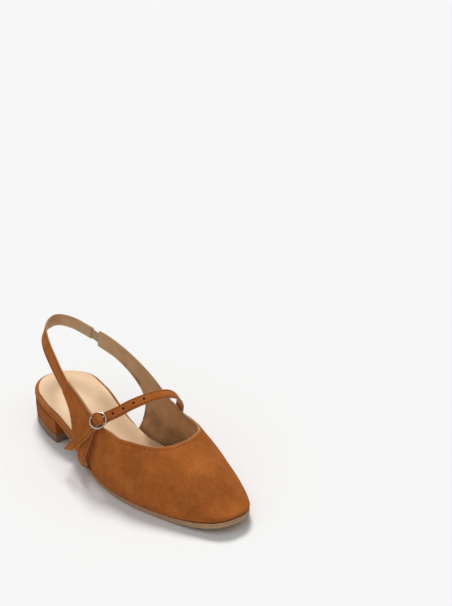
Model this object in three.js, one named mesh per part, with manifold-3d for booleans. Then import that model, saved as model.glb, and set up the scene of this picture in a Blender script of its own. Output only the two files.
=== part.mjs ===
// Slingback pump, the right shoe of a pair, with a low block heel, a buckled instep strap and a
// strap round the heel. Millimetres. +X runs to the toe, +Y to the inner side of the foot and +Z up.
// The shoe is laid out from the back of its heel rim, and the finished group is then moved so that
// the origin is the middle of the heel's underside.

import * as THREE from "three";
import { mergeVertices } from "three/addons/utils/BufferGeometryUtils.js";
import Module from "manifold-3d";

const wasm = await Module();
wasm.setup();

// Driving sizes of the bottom
const LENGTH = 250; // back of the heel rim to the tip of the sole
const BALL_WIDTH = 77; // widest part of the sole
const HEEL_HEIGHT = 20.2; // floor to the top of the heel block
const HEEL_LENGTH = 63; // back of the heel rim to the heel's breast
const LIFT_HEIGHT = 6.8; // rubber top lift under the heel block
const TOE_SPRING = 6; // lift of the sole's tip off the floor
const SOLE_EDGE_TOE = 4.4; // thickness of the outsole's edge at the toe
const SOLE_EDGE_WAIST = 2.2; // and at the waist
const RIM_HEIGHT = 5; // padded, covered board at the heel and waist
const BOARD_FRONT = 2.5; // the same board inside the forepart
const SOCK_THICKNESS = 1;
const SOCK_MARGIN = 3.4; // rim left bare round the heel's sock
const HEEL_SET_BACK = 0.5; // the heel block stands in by this much under the rim
const HEEL_TAPER = 0.4; // and draws in by this much down to the floor
const SOLE_SET_BACK = 2; // outsole inside the rim at the waist

// Driving sizes of the upper, its straps and its buckle
const WALL = 1.6; // suede and lining together
const GAP = 0.3; // between pieces that meet
const BOARD_CLEAR = 0.9; // board inside the vamp's foot, beyond the gap
const BELLY_HEIGHT = 6.5; // widest line of the vamp above the feather line
const BELLY_FRONT = 0.7; // how far the vamp swells beyond the sole
const BELLY_TOE = -0.35; // and at the toe, where it stays inside
const TUCK = 1.6; // how far it draws in again to the feather line
const SEAM_STEP = 0.5; // the vamp laps over the quarters by this much
const THROAT_HEIGHT = 41.6; // ridge of the vamp at the throat, above the floor
const SLING_RISE = 52.3; // top edge of the back strap above the heel block
const SLING_WIDTH = 9.5;
const STRAP_WIDTH = 8.6;
const STRAP_THICKNESS = 1.6;
const CHAPE_THICKNESS = 1.4; // strap that holds the buckle
const ELASTIC_WIDTH = 7.6;
const ELASTIC_THICKNESS = 1;
const RING_DIAMETER = 15; // outside of the buckle's ring
const RING_WIRE = 1.6;
const BAR_WIRE = 1.4;
const PRONG_WIRE = 1.1;
const SOLE_ROUND = 0.6; // rounding of the outsole's lower corner
const HEEL_COVER_ROUND = 0.7; // of the heel block's top
const LIFT_ROUND = 0.5; // of the lift's lower corner
const RIM_ROUND = 1.5; // of the padded rim
const SOCK_ROUND = 0.4; // of the sock's upper edge
const BAR_DROP = 1; // the bar lies below the middle of the ring's rim
const HOLE_DIAMETER = 1.9; // holes of the instep strap
const HOLE_PITCH = 8.2;
const SPARE_HOLES = 4;

// Sizes that follow from them
const SLING_HEIGHT = HEEL_HEIGHT + SLING_RISE;
const HALF_BALL = BALL_WIDTH / 2;
const HEEL_ROUND = 0.12 * LENGTH; // length of the heel's curve
const TOE_START = 0.84 * LENGTH; // the toe's curve begins here
const TREAD_BACK = 0.56 * LENGTH; // the outsole lies flat on the floor from here
const TREAD_FRONT = 0.8 * LENGTH; // to here
const EDGE_STEP = 0.2 * LENGTH; // length of one turn along the straight part of the edge
const HEEL_TURN = 1 + (TOE_START - HEEL_ROUND) / EDGE_STEP; // the heel's curve begins at this turn

// Roundness, as powers: 2 is a circle and more is squarer
const TOE_POWER = 2.5;
const VAMP_POWER = 3; // across the vamp at the throat
const VAMP_POWER_TOE = 2; // and at the toe
const WAIST_POWER = 1.7;

// Fineness of the facets
const WALL_STEPS = 10;
const GIRTH_PITCH = 0.022 * LENGTH;
const EDGE_TURN_STEP = 0.1;
const ENDMOST_TURN = 0.03;
const STRAP_PITCH = 0.0125 * LENGTH;

// Sole outline: station, middle line and half width, as shares of LENGTH and BALL_WIDTH
const SOLE_ROWS = [
  { at: 0.0, mid: 0.078, half: 0.356 },
  { at: 0.064, mid: 0.075, half: 0.36 },
  { at: 0.12, mid: 0.05, half: 0.375 },
  { at: 0.2, mid: 0.0, half: 0.384 },
  { at: 0.288, mid: -0.034, half: 0.366 },
  { at: 0.4, mid: -0.052, half: 0.355 },
  { at: 0.52, mid: -0.054, half: 0.446 },
  { at: 0.62, mid: -0.023, half: 0.5 },
  { at: 0.72, mid: 0.004, half: 0.494 },
  { at: 0.82, mid: 0.031, half: 0.43 },
  { at: 0.9, mid: 0.039, half: 0.366 },
  { at: 0.96, mid: 0.036, half: 0.334 },
  { at: 1.02, mid: 0.032, half: 0.318 },
];

// Ridge of the last over the forepart: station, sideways place and height, as shares of LENGTH,
// BALL_WIDTH and THROAT_HEIGHT
const RIDGE_ROWS = [
  { at: 0.52, aside: 0.006, up: 1.73 },
  { at: 0.588, aside: 0.012, up: 1.4 },
  { at: 0.62, aside: 0.02, up: 1.298 },
  { at: 0.664, aside: 0.024, up: 1.19 },
  { at: 0.692, aside: 0.026, up: 1.094 },
  { at: 0.716, aside: 0.026, up: 1.029 },
  { at: 0.73, aside: 0.026, up: 0.998 },
  { at: 0.8, aside: 0.028, up: 0.858 },
  { at: 0.86, aside: 0.032, up: 0.748 },
  { at: 0.9, aside: 0.036, up: 0.63 },
  { at: 0.96, aside: 0.036, up: 0.46 },
  { at: 1.02, aside: 0.033, up: 0.36 },
];

// Sections of the upper, from the outer seam forward, round the toe and back to the elastic. at, out
// and up place a section's top edge, as shares of LENGTH, HALF_BALL and SLING_HEIGHT. turn says where
// it meets the feather line, or footAt, footOut and footUp where its lower edge stands clear of the
// sole. bow is how far its middle swells, in walls, and last is 1 where it lies on the last.
const UPPER_ROWS = [
  { at: 0.312, out: -0.686, up: 0.822, footAt: 0.3, footOut: -0.769, footUp: 0.703, bow: 0 },
  { at: 0.336, out: -0.709, up: 0.804, footAt: 0.322, footOut: -0.779, footUp: 0.614, bow: 0.1 },
  { at: 0.362, out: -0.735, up: 0.786, footAt: 0.339, footOut: -0.784, footUp: 0.51, bow: 0.2 },
  { at: 0.388, out: -0.753, up: 0.759, footAt: 0.35, footOut: -0.795, footUp: 0.379, bow: 0.3 },
  { at: 0.412, out: -0.771, up: 0.735, turn: -3.38, bow: 0.4 },
  { at: 0.44, out: -0.79, up: 0.697, turn: -3.2, bow: 0.45 },
  { at: 0.472, out: -0.805, up: 0.659, turn: -2.96, bow: 0.55 },
  { at: 0.52, out: -0.831, up: 0.614, turn: -2.64, bow: 0.8, seam: true },
  { at: 0.572, out: -0.839, up: 0.574, turn: -2.28, bow: 1.2, last: 0.5 },
  { at: 0.62, out: -0.826, up: 0.541, turn: -1.92, bow: 1.6, last: 1 },
  { at: 0.656, out: -0.727, up: 0.538, turn: -1.52, bow: 1.6, last: 1 },
  { at: 0.684, out: -0.597, up: 0.552, turn: -1.12, bow: 1.6, last: 1 },
  { at: 0.712, out: -0.403, up: 0.558, turn: -0.74, bow: 1.6, last: 1 },
  { at: 0.727, out: -0.156, up: 0.566, turn: -0.34, bow: 1.6, last: 1 },
  { at: 0.73, out: 0.052, up: 0.568, turn: 0, bow: 1.6, last: 1 },
  { at: 0.729, out: 0.26, up: 0.568, turn: 0.34, bow: 1.6, last: 1 },
  { at: 0.718, out: 0.494, up: 0.566, turn: 0.74, bow: 1.6, last: 1 },
  { at: 0.702, out: 0.675, up: 0.56, turn: 1.12, bow: 1.6, last: 1 },
  { at: 0.676, out: 0.795, up: 0.558, turn: 1.48, bow: 1.6, last: 1 },
  { at: 0.64, out: 0.826, up: 0.566, turn: 1.84, bow: 1.6, last: 1 },
  { at: 0.588, out: 0.818, up: 0.593, turn: 2.2, bow: 1.4, last: 0.5 },
  { at: 0.544, out: 0.81, up: 0.648, turn: 2.56, bow: 0.9, seam: true },
  { at: 0.5, out: 0.8, up: 0.717, turn: 2.86, bow: 0.6 },
  { at: 0.46, out: 0.8, up: 0.786, turn: 3.08, bow: 0.45 },
  { at: 0.416, out: 0.805, up: 0.841, turn: 3.22, bow: 0.35 },
  { at: 0.388, out: 0.81, up: 0.869, footAt: 0.426, footOut: 0.714, footUp: 0.372, bow: 0.3 },
  { at: 0.356, out: 0.818, up: 0.894, footAt: 0.416, footOut: 0.748, footUp: 0.51, bow: 0.2 },
  { at: 0.312, out: 0.831, up: 0.921, footAt: 0.39, footOut: 0.779, footUp: 0.607, bow: 0.1 },
  { at: 0.252, out: 0.831, up: 0.952, footAt: 0.328, footOut: 0.81, footUp: 0.697, bow: 0 },
  { at: 0.2, out: 0.826, up: 0.968, footAt: 0.248, footOut: 0.81, footUp: 0.772, bow: 0 },
  { at: 0.158, out: 0.805, up: 0.975, footAt: 0.151, footOut: 0.795, footUp: 0.8, bow: 0 },
];

// Back strap, from the outer seam round the heel to the elastic: its top edge, as shares of LENGTH,
// HALF_BALL and SLING_HEIGHT, and the degrees that it leans in over the foot
const SLING_ROWS = [
  { at: 0.307, out: -0.677, up: 0.824, lean: 23 },
  { at: 0.247, out: -0.558, up: 0.87, lean: 25 },
  { at: 0.182, out: -0.418, up: 0.914, lean: 29 },
  { at: 0.115, out: -0.262, up: 0.95, lean: 30 },
  { at: 0.052, out: -0.078, up: 0.979, lean: 25 },
  { at: 0.004, out: 0.135, up: 0.997, lean: 13 },
  { at: -0.022, out: 0.374, up: 1.004, lean: 0 },
  { at: -0.017, out: 0.574, up: 1.0, lean: -7 },
  { at: 0.03, out: 0.727, up: 0.989, lean: -12 },
  { at: 0.12, out: 0.79, up: 0.972, lean: -10 },
];

// Instep strap, from the inner feather line over the foot to the buckle: its middle, as shares of
// LENGTH, HALF_BALL and SLING_HEIGHT, and the direction that its face looks in
const STRAP_ROWS = [
  { at: 0.498, out: 0.806, up: 0.078, nx: 0.0, ny: 1.0, nz: 0.0 },
  { at: 0.504, out: 0.88, up: 0.179, nx: 0.0, ny: 1.0, nz: 0.02 },
  { at: 0.516, out: 0.92, up: 0.303, nx: 0.0, ny: 0.99, nz: 0.08 },
  { at: 0.532, out: 0.93, up: 0.441, nx: 0.03, ny: 0.96, nz: 0.18 },
  { at: 0.552, out: 0.935, up: 0.575, nx: 0.12, ny: 0.88, nz: 0.38 },
  { at: 0.565, out: 0.878, up: 0.685, nx: 0.25, ny: 0.7, nz: 0.62 },
  { at: 0.57, out: 0.765, up: 0.768, nx: 0.35, ny: 0.4, nz: 0.85 },
  { at: 0.572, out: 0.597, up: 0.825, nx: 0.4, ny: 0.2, nz: 0.89 },
  { at: 0.569, out: 0.39, up: 0.847, nx: 0.42, ny: 0.05, nz: 0.9 },
  { at: 0.566, out: 0.182, up: 0.852, nx: 0.42, ny: -0.05, nz: 0.9 },
  { at: 0.561, out: -0.078, up: 0.841, nx: 0.42, ny: -0.15, nz: 0.89 },
  { at: 0.553, out: -0.312, up: 0.811, nx: 0.41, ny: -0.28, nz: 0.86 },
  { at: 0.545, out: -0.506, up: 0.772, nx: 0.4, ny: -0.4, nz: 0.82 },
];

// Free end of the instep strap beyond the buckle, placed as above
const FREE_END_ROWS = [
  { at: 0.494, out: -1.096, up: 0.531, nx: 0.12, ny: -0.88, nz: 0.46 },
  { at: 0.472, out: -1.169, up: 0.438, nx: -0.06, ny: -0.94, nz: 0.34 },
  { at: 0.447, out: -1.205, up: 0.348, nx: -0.14, ny: -0.95, nz: 0.28 },
  { at: 0.417, out: -1.224, up: 0.252, nx: -0.16, ny: -0.95, nz: 0.26 },
];

// Chape, from the outer feather line up to the buckle, placed as above
const CHAPE_ROWS = [
  { at: 0.466, out: -0.951, up: 0.066, nx: 0.0, ny: -0.95, nz: -0.3 },
  { at: 0.465, out: -1.023, up: 0.11, nx: 0.0, ny: -0.9, nz: -0.3 },
  { at: 0.468, out: -1.081, up: 0.193, nx: 0.0, ny: -0.99, nz: -0.05 },
  { at: 0.475, out: -1.091, up: 0.29, nx: 0.03, ny: -0.97, nz: 0.15 },
  { at: 0.486, out: -1.06, up: 0.393, nx: 0.1, ny: -0.93, nz: 0.3 },
];

// Buckle: middle of the ring, the way that its face looks and the way that the strap runs through it
const RING_ROW = { at: 0.52, out: -0.88, up: 0.698, nx: 0.35, ny: -0.55, nz: 0.75 };
const RING_RUN = { x: -0.355, y: -0.825, z: -0.44 };

const clamp = THREE.MathUtils.clamp;
const lerp = THREE.MathUtils.lerp;
const smoothstep = THREE.MathUtils.smoothstep;

// Smooth curve through one column of a table: cubic pieces with slopes from the neighbouring rows
function columnCurve(rows, place, column) {
  const xs = rows.map(place);
  const ys = rows.map(column);
  const slope = (i) => {
    const a = Math.max(i - 1, 0);
    const b = Math.min(i + 1, xs.length - 1);
    return (ys[b] - ys[a]) / (xs[b] - xs[a]);
  };
  return (x) => {
    let i = 0;
    while (i < xs.length - 2 && x > xs[i + 1]) i += 1;
    const span = xs[i + 1] - xs[i];
    const t = clamp((x - xs[i]) / span, 0, 1);
    const bend = t * t * (3 - 2 * t);
    const leave = t * (1 - t) * (1 - t) * span * slope(i);
    const arrive = t * t * (t - 1) * span * slope(i + 1);
    return lerp(ys[i], ys[i + 1], bend) + leave + arrive;
  };
}

// Curve of points through a table's rows, by row number
function rowCurve(points) {
  const axis = (key) => columnCurve(points, (point, i) => i, (point) => point[key]);
  const [x, y, z] = [axis("x"), axis("y"), axis("z")];
  return (u) => new THREE.Vector3(x(u), y(u), z(u));
}

const placeOf = (row) => new THREE.Vector3(row.at * LENGTH, row.out * HALF_BALL, row.up * SLING_HEIGHT);
const faceOf = (row) => new THREE.Vector3(row.nx, row.ny, row.nz).normalize();

const soleMid = columnCurve(SOLE_ROWS, (row) => row.at * LENGTH, (row) => row.mid * BALL_WIDTH);
const soleHalf = columnCurve(SOLE_ROWS, (row) => row.at * LENGTH, (row) => row.half * BALL_WIDTH);
const ridgeAside = columnCurve(RIDGE_ROWS, (row) => row.at * LENGTH, (row) => row.aside * BALL_WIDTH);
const ridgeUp = columnCurve(RIDGE_ROWS, (row) => row.at * LENGTH, (row) => row.up * THROAT_HEIGHT);

const turnAt = (x) => 1 + (TOE_START - x) / EDGE_STEP;

// Point of the sole's edge, moved out by grow. turn is 0 at the toe's tip, 1 where the toe's curve
// ends, then counts steps back along the side, and is negative on the outer side.
function edgePoint(turn, grow) {
  const side = Math.sign(turn) || 1;
  const size = Math.abs(turn);
  const angle = (Math.min(size, 1) * Math.PI) / 2;
  const heelAngle = (Math.max(size - HEEL_TURN, 0) * Math.PI) / 2;
  let x = TOE_START - (size - 1) * EDGE_STEP;
  let round = 1;
  if (size < 1) {
    x = TOE_START + (LENGTH - TOE_START + grow) * Math.cos(angle) ** (2 / TOE_POWER);
    round = Math.sin(angle) ** (2 / TOE_POWER);
  } else if (size > HEEL_TURN) {
    x = HEEL_ROUND - (HEEL_ROUND + grow) * Math.sin(heelAngle);
    round = Math.cos(heelAngle);
  }
  return new THREE.Vector2(x, soleMid(x) + side * (soleHalf(x) + grow) * round);
}

// Heights above the floor along the length
function undersideUp(x) {
  if (x > TREAD_FRONT) return TOE_SPRING * ((x - TREAD_FRONT) / (LENGTH - TREAD_FRONT)) ** 2;
  const back = clamp((TREAD_BACK - x) / (TREAD_BACK - HEEL_LENGTH), 0, 1);
  return (HEEL_HEIGHT - SOLE_EDGE_WAIST) * back ** WAIST_POWER;
}
const soleEdge = (x) => lerp(SOLE_EDGE_WAIST, SOLE_EDGE_TOE, clamp((x / LENGTH - 0.4) / 0.55, 0, 1));
const featherUp = (x) => (x < HEEL_LENGTH ? HEEL_HEIGHT : undersideUp(x) + soleEdge(x));
const boardThickness = (x) => lerp(RIM_HEIGHT, BOARD_FRONT, smoothstep(x, 0.36 * LENGTH, 0.6 * LENGTH));
const boardUp = (x) => featherUp(x) + GAP;
const sockUp = (x) => boardUp(x) + boardThickness(x) + GAP;

// How far pieces stand out from, or in from, the sole's edge along the length
const forepart = (x) => smoothstep(x, 0.38 * LENGTH, 0.48 * LENGTH);
const bellyAhead = (x) => lerp(BELLY_FRONT, BELLY_TOE, smoothstep(x, 0.8 * LENGTH, 0.94 * LENGTH));
const bellyOut = (x) => lerp(WALL + GAP, bellyAhead(x), forepart(x));
const tuckIn = (x) => TUCK * forepart(x);
const bellyUp = (x) => featherUp(x) + BELLY_HEIGHT * (1 - 0.75 * smoothstep(x, 0.66 * LENGTH, LENGTH));
const vampPower = (x) => lerp(VAMP_POWER, VAMP_POWER_TOE, smoothstep(x, 0.67 * LENGTH, 0.866 * LENGTH));
const boardIn = (x) => WALL + GAP + tuckIn(x) - bellyOut(x) + BOARD_CLEAR * forepart(x);
const sockInFront = (x) => boardIn(x) + lerp(3, 9, smoothstep(x, 0.66 * LENGTH, 0.86 * LENGTH)) * GAP;
const sockIn = (x) => lerp(SOCK_MARGIN, sockInFront(x), smoothstep(x, 0.3 * LENGTH, 0.5 * LENGTH));
const soleIn = (x) => SOLE_SET_BACK * (1 - smoothstep(x, 0.3 * LENGTH, 0.46 * LENGTH));

// Height of the last's surface over a place of the forepart
function lastUp(x, y) {
  const edge = soleMid(x) + Math.sign(y - ridgeAside(x)) * (soleHalf(x) + bellyOut(x));
  const toe = clamp((x - TOE_START) / (LENGTH + BELLY_TOE - TOE_START), 0, 1);
  const fall = (share, power) => (1 - share ** power) ** (1 / power);
  const reach = (edge - soleMid(x)) * fall(toe, TOE_POWER) + soleMid(x) - ridgeAside(x);
  const aside = clamp(Math.abs((y - ridgeAside(x)) / (Math.abs(reach) + 1e-6)), 0, 1);
  const power = vampPower(x);
  return bellyUp(x) + (ridgeUp(x) - bellyUp(x)) * fall(toe, power) * fall(aside, power);
}

// The same number of points at even distances along a line of points
function spaceEvenly(line, count) {
  const lengths = [0];
  for (let i = 1; i < line.length; i += 1) {
    lengths.push(lengths[i - 1] + line[i].distanceTo(line[i - 1]));
  }
  const total = lengths[lengths.length - 1];
  const points = [];
  let k = 0;
  for (let i = 0; i <= count; i += 1) {
    const want = (total * i) / count;
    while (k < line.length - 2 && lengths[k + 1] < want) k += 1;
    const t = clamp((want - lengths[k]) / Math.max(lengths[k + 1] - lengths[k], 1e-9), 0, 1);
    points.push(line[k].clone().lerp(line[k + 1], t));
  }
  return points;
}

// Faces between two grids of points, front and back, closed round all four borders
function shell(front, back) {
  const rows = front.length;
  const columns = front[0].length;
  const points = [...front.flat(), ...back.flat()];
  const faces = [];
  const quad = (a, b, c, d) => faces.push(a, b, c, a, c, d);
  const f = (i, j) => i * columns + j;
  const g = (i, j) => rows * columns + i * columns + j;
  for (let i = 0; i < rows - 1; i += 1) {
    for (let j = 0; j < columns - 1; j += 1) {
      quad(f(i, j), f(i + 1, j), f(i + 1, j + 1), f(i, j + 1));
      quad(g(i, j), g(i, j + 1), g(i + 1, j + 1), g(i + 1, j));
    }
    quad(f(i, 0), g(i, 0), g(i + 1, 0), f(i + 1, 0));
    quad(f(i, columns - 1), f(i + 1, columns - 1), g(i + 1, columns - 1), g(i, columns - 1));
  }
  for (let j = 0; j < columns - 1; j += 1) {
    quad(f(0, j), f(0, j + 1), g(0, j + 1), g(0, j));
    quad(f(rows - 1, j), g(rows - 1, j), g(rows - 1, j + 1), f(rows - 1, j + 1));
  }
  return solid(points, faces);
}

// Faces between loops that all run forward on the outer side and back on the inner side, with the
// first and last loop closed across
function loft(loops) {
  const count = loops[0].length;
  const faces = [];
  const quad = (a, b, c, d) => faces.push(a, b, c, a, c, d);
  for (let k = 0; k < loops.length - 1; k += 1) {
    for (let i = 0; i < count; i += 1) {
      const next = (i + 1) % count;
      quad(k * count + i, k * count + next, (k + 1) * count + next, (k + 1) * count + i);
    }
  }
  const top = (loops.length - 1) * count;
  for (let i = 0; i < count / 2 - 1; i += 1) {
    const across = count - 1 - i;
    quad(i, across, across - 1, i + 1);
    quad(top + i, top + i + 1, top + across - 1, top + across);
  }
  return solid(loops.flat(), faces);
}

// Closed geometry whose faces point out
function solid(points, faces) {
  const corner = (k) => points[faces[k]];
  let volume = 0;
  for (let k = 0; k < faces.length; k += 3) {
    volume += corner(k).dot(corner(k + 1).clone().cross(corner(k + 2)));
  }
  if (volume < 0) faces.reverse();
  const geometry = new THREE.BufferGeometry();
  geometry.setAttribute("position", new THREE.Float32BufferAttribute(points.flatMap((p) => p.toArray()), 3));
  geometry.setIndex(faces);
  return geometry;
}

// Booleans on closed geometries
function toManifold(geometry) {
  const bare = geometry.clone();
  bare.deleteAttribute("normal");
  bare.deleteAttribute("uv");
  const merged = mergeVertices(bare, 1e-4);
  const vertProperties = new Float32Array(merged.attributes.position.array);
  const triVerts = new Uint32Array(merged.index.array);
  return new wasm.Manifold(new wasm.Mesh({ numProp: 3, vertProperties, triVerts }));
}
function fromManifold(body) {
  const { vertProperties, triVerts } = body.getMesh();
  const geometry = new THREE.BufferGeometry();
  geometry.setAttribute("position", new THREE.BufferAttribute(new Float32Array(vertProperties), 3));
  geometry.setIndex(new THREE.BufferAttribute(new Uint32Array(triVerts), 1));
  return geometry;
}
const join = (...parts) => fromManifold(parts.map(toManifold).reduce((a, b) => a.add(b)));
const cut = (body, ...tools) =>
  fromManifold(tools.map(toManifold).reduce((rest, tool) => rest.subtract(tool), toManifold(body)));

// Turns between two stations from back to front
function turnsBetween(back, front) {
  const steps = Math.round((back - front) / EDGE_TURN_STEP);
  return Array.from({ length: steps + 1 }, (unused, i) => lerp(back, front, i / steps));
}

// One loop of a bottom piece: the sole's edge moved out by grow(x), at the height up(x)
function edgeLoop(turns, grow, up) {
  const corner = (turn) => {
    const near = edgePoint(turn, 0).x;
    const { x, y } = edgePoint(turn, grow(near));
    return new THREE.Vector3(x, y, up(x));
  };
  return [...turns.map((turn) => corner(-turn)), ...[...turns].reverse().map(corner)];
}

const WHOLE = turnsBetween(HEEL_TURN + 1 - ENDMOST_TURN, ENDMOST_TURN);
const HEEL = turnsBetween(HEEL_TURN + 1 - ENDMOST_TURN, turnAt(HEEL_LENGTH));
const BEYOND_HEEL = turnsBetween(turnAt(HEEL_LENGTH + GAP), ENDMOST_TURN);

function outsole() {
  const loop = (more, share) =>
    edgeLoop(BEYOND_HEEL, (x) => -soleIn(x) - more, (x) => undersideUp(x) + share * soleEdge(x));
  return loft([loop(SOLE_ROUND, 0), loop(0, 0.25), loop(0, 0.85), loop(SOLE_ROUND / 2, 1)]);
}

// Loop of the heel at a height: it stands in under the rim and draws in towards the floor
function heelLoop(up, more) {
  const drawIn = HEEL_SET_BACK + HEEL_TAPER * (1 - up / HEEL_HEIGHT);
  return edgeLoop(HEEL, () => -drawIn - more, () => up);
}

function heelBlock() {
  const bottom = LIFT_HEIGHT + GAP;
  const stack = HEEL_HEIGHT - bottom;
  return loft([
    heelLoop(bottom, 0),
    heelLoop(bottom + 0.5 * stack, -HEEL_TAPER / 2),
    heelLoop(bottom + 0.94 * stack, 0),
    heelLoop(HEEL_HEIGHT, HEEL_COVER_ROUND),
  ]);
}

function topLift() {
  const inside = LIFT_ROUND / 5;
  return loft([heelLoop(0, LIFT_ROUND), heelLoop(0.08 * LIFT_HEIGHT, inside), heelLoop(LIFT_HEIGHT, inside)]);
}

function insoleBoard() {
  const loop = (more, share) =>
    edgeLoop(WHOLE, (x) => -boardIn(x) - more, (x) => boardUp(x) + share * boardThickness(x));
  return loft([
    loop(0.87 * RIM_ROUND, 0),
    loop(0.17 * RIM_ROUND, 0.2),
    loop(0, 0.5),
    loop(0.27 * RIM_ROUND, 0.82),
    loop(RIM_ROUND, 1),
  ]);
}

function sock() {
  const loop = (more, share) =>
    edgeLoop(WHOLE, (x) => -sockIn(x) - more, (x) => sockUp(x) + share * SOCK_THICKNESS);
  return loft([loop(0, 0), loop(0, 0.6), loop(SOCK_ROUND, 1)]);
}

// Lower edge of the upper where it stands clear of the sole, by row number. It starts from the
// place on the feather line where the wing leaves the sole.
function clearFoot(rows, featherRow) {
  const points = rows.map((row) =>
    row === featherRow
      ? featherFoot(row.turn)
      : new THREE.Vector3(row.footAt * LENGTH, row.footOut * HALF_BALL, row.footUp * SLING_HEIGHT),
  );
  return rowCurve(points);
}

function featherFoot(turn) {
  const near = edgePoint(turn, 0).x;
  const { x, y } = edgePoint(turn, bellyOut(near));
  return new THREE.Vector3(x, y, featherUp(Math.min(x, LENGTH)) + GAP);
}

const FIRST_FEATHER = UPPER_ROWS.findIndex((row) => row.turn !== undefined);
const LAST_FEATHER = UPPER_ROWS.findLastIndex((row) => row.turn !== undefined);
const upperTop = rowCurve(
  UPPER_ROWS.map((row) => {
    const top = placeOf(row);
    top.z = lerp(top.z, lastUp(top.x, top.y), row.last ?? 0);
    return top;
  }),
);
const rowNumber = (row, i) => i;
const upperBow = columnCurve(UPPER_ROWS, rowNumber, (row) => row.bow * WALL);
const upperLast = columnCurve(UPPER_ROWS, rowNumber, (row) => row.last ?? 0);
const featherRows = UPPER_ROWS.slice(FIRST_FEATHER, LAST_FEATHER + 1);
const featherTurn = columnCurve(featherRows, (row, i) => i + FIRST_FEATHER, (row) => row.turn);
const outerFoot = clearFoot(UPPER_ROWS.slice(0, FIRST_FEATHER + 1), UPPER_ROWS[FIRST_FEATHER]);
const innerFoot = clearFoot(UPPER_ROWS.slice(LAST_FEATHER), UPPER_ROWS[LAST_FEATHER]);

function upperFoot(u) {
  if (u < FIRST_FEATHER) return outerFoot(u);
  if (u > LAST_FEATHER) return innerFoot(u - LAST_FEATHER);
  return featherFoot(featherTurn(u));
}

// One section of the upper's outer face, from its top edge down to its foot
function upperSection(u) {
  const top = upperTop(u);
  const foot = upperFoot(u);
  const side = Math.sign(top.y - soleMid(top.x)) || 1;
  const steps = 6 * WALL_STEPS;
  const belly = bellyUp(Math.min(foot.x, LENGTH));
  const onLast = clamp(upperLast(u), 0, 1);
  const wing = [];
  const vamp = [];
  const match = (top.z - belly) / Math.max(lastUp(top.x, top.y) - belly, 1);
  for (let i = 0; i <= steps; i += 1) {
    const t = i / steps;
    const point = top.clone().lerp(foot, t);
    point.y += side * upperBow(u) * 4 * t * (1 - t);
    wing.push(point);
    const way = 1 - (1 - Math.min(t / 0.75, 1)) ** 2.4;
    const x = lerp(top.x, foot.x, way);
    const y = lerp(top.y, foot.y, way);
    const drop = clamp((t - 0.75) / 0.25, 0, 1);
    const over = lastUp(Math.min(x, LENGTH + BELLY_TOE), y) - belly;
    const z = drop > 0 ? lerp(belly, foot.z, drop) : belly + over * lerp(match, 1, way);
    vamp.push(new THREE.Vector3(x, y, z));
  }
  const vampEven = spaceEvenly(vamp, WALL_STEPS);
  const section = spaceEvenly(wing, WALL_STEPS).map((point, i) => point.lerp(vampEven[i], onLast));
  if (u < FIRST_FEATHER || u > LAST_FEATHER) return section;
  const turn = featherTurn(u);
  const inward = edgePoint(turn, 0).sub(edgePoint(turn, 1));
  for (const point of section) {
    const down = clamp((belly - point.z) / (belly - foot.z), 0, 1);
    point.x += inward.x * tuckIn(foot.x) * down * down;
    point.y += inward.y * tuckIn(foot.x) * down * down;
  }
  return section;
}

// Row numbers of the upper's columns, evenly spaced between rows
function upperColumns() {
  const columns = [];
  for (let i = 0; i < UPPER_ROWS.length - 1; i += 1) {
    const tops = upperTop(i).distanceTo(upperTop(i + 1));
    const feet = upperFoot(i).distanceTo(upperFoot(i + 1));
    const steps = Math.max(1, Math.round(Math.max(tops, feet) / GIRTH_PITCH));
    for (let k = 0; k < steps; k += 1) columns.push(i + k / steps);
  }
  columns.push(UPPER_ROWS.length - 1);
  return columns;
}

// Upper: two faces a wall apart, with a close pair of columns at each seam, where the vamp steps out
function upper() {
  const seams = UPPER_ROWS.map((row, i) => (row.seam ? i : -1)).filter((i) => i >= 0);
  const seamWidth = 0.06;
  const sections = [];
  const raises = [];
  for (const u of upperColumns()) {
    const shifts = seams.includes(u) ? [-seamWidth, seamWidth] : [0];
    for (const shift of shifts) {
      sections.push(upperSection(u + shift));
      raises.push(u + shift > seams[0] && u + shift < seams[1] ? SEAM_STEP : 0);
    }
  }
  const at = (i, j) => sections[clamp(i, 0, sections.length - 1)][clamp(j, 0, WALL_STEPS)];
  const normal = (i, j) => {
    const along = at(i + 1, j).clone().sub(at(i - 1, j));
    const down = at(i, j + 1).clone().sub(at(i, j - 1));
    const across = along.cross(down);
    if (j === WALL_STEPS) across.z = 0;
    return across.normalize();
  };
  const tipColumn = Math.round(sections.length / 2);
  const outward = Math.sign(normal(tipColumn, WALL_STEPS - 1).x);
  const moved = (by) =>
    sections.map((section, i) =>
      section.map((point, j) => point.clone().addScaledVector(normal(i, j), by(i))),
    );
  return shell(moved((i) => outward * raises[i]), moved(() => -outward * WALL));
}

// Flat strap along a line of middles, with its faces looking along the normals
function strap(middles, normals, width, thickness, taper = () => 1) {
  const front = [];
  const back = [];
  middles.forEach((middle, i) => {
    const before = middles[Math.max(i - 1, 0)];
    const after = middles[Math.min(i + 1, middles.length - 1)];
    const run = after.clone().sub(before).normalize();
    const face = normals[i].clone().addScaledVector(run, -run.dot(normals[i])).normalize();
    const across = face.clone().cross(run).multiplyScalar((width / 2) * taper(i / (middles.length - 1)));
    const half = face.clone().multiplyScalar(thickness / 2);
    const edge = (sign, lift) => middle.clone().addScaledVector(across, sign).addScaledVector(half, lift);
    front.push([edge(-1, 1), edge(1, 1)]);
    back.push([edge(-1, -1), edge(1, -1)]);
  });
  return shell(front, back);
}

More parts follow.
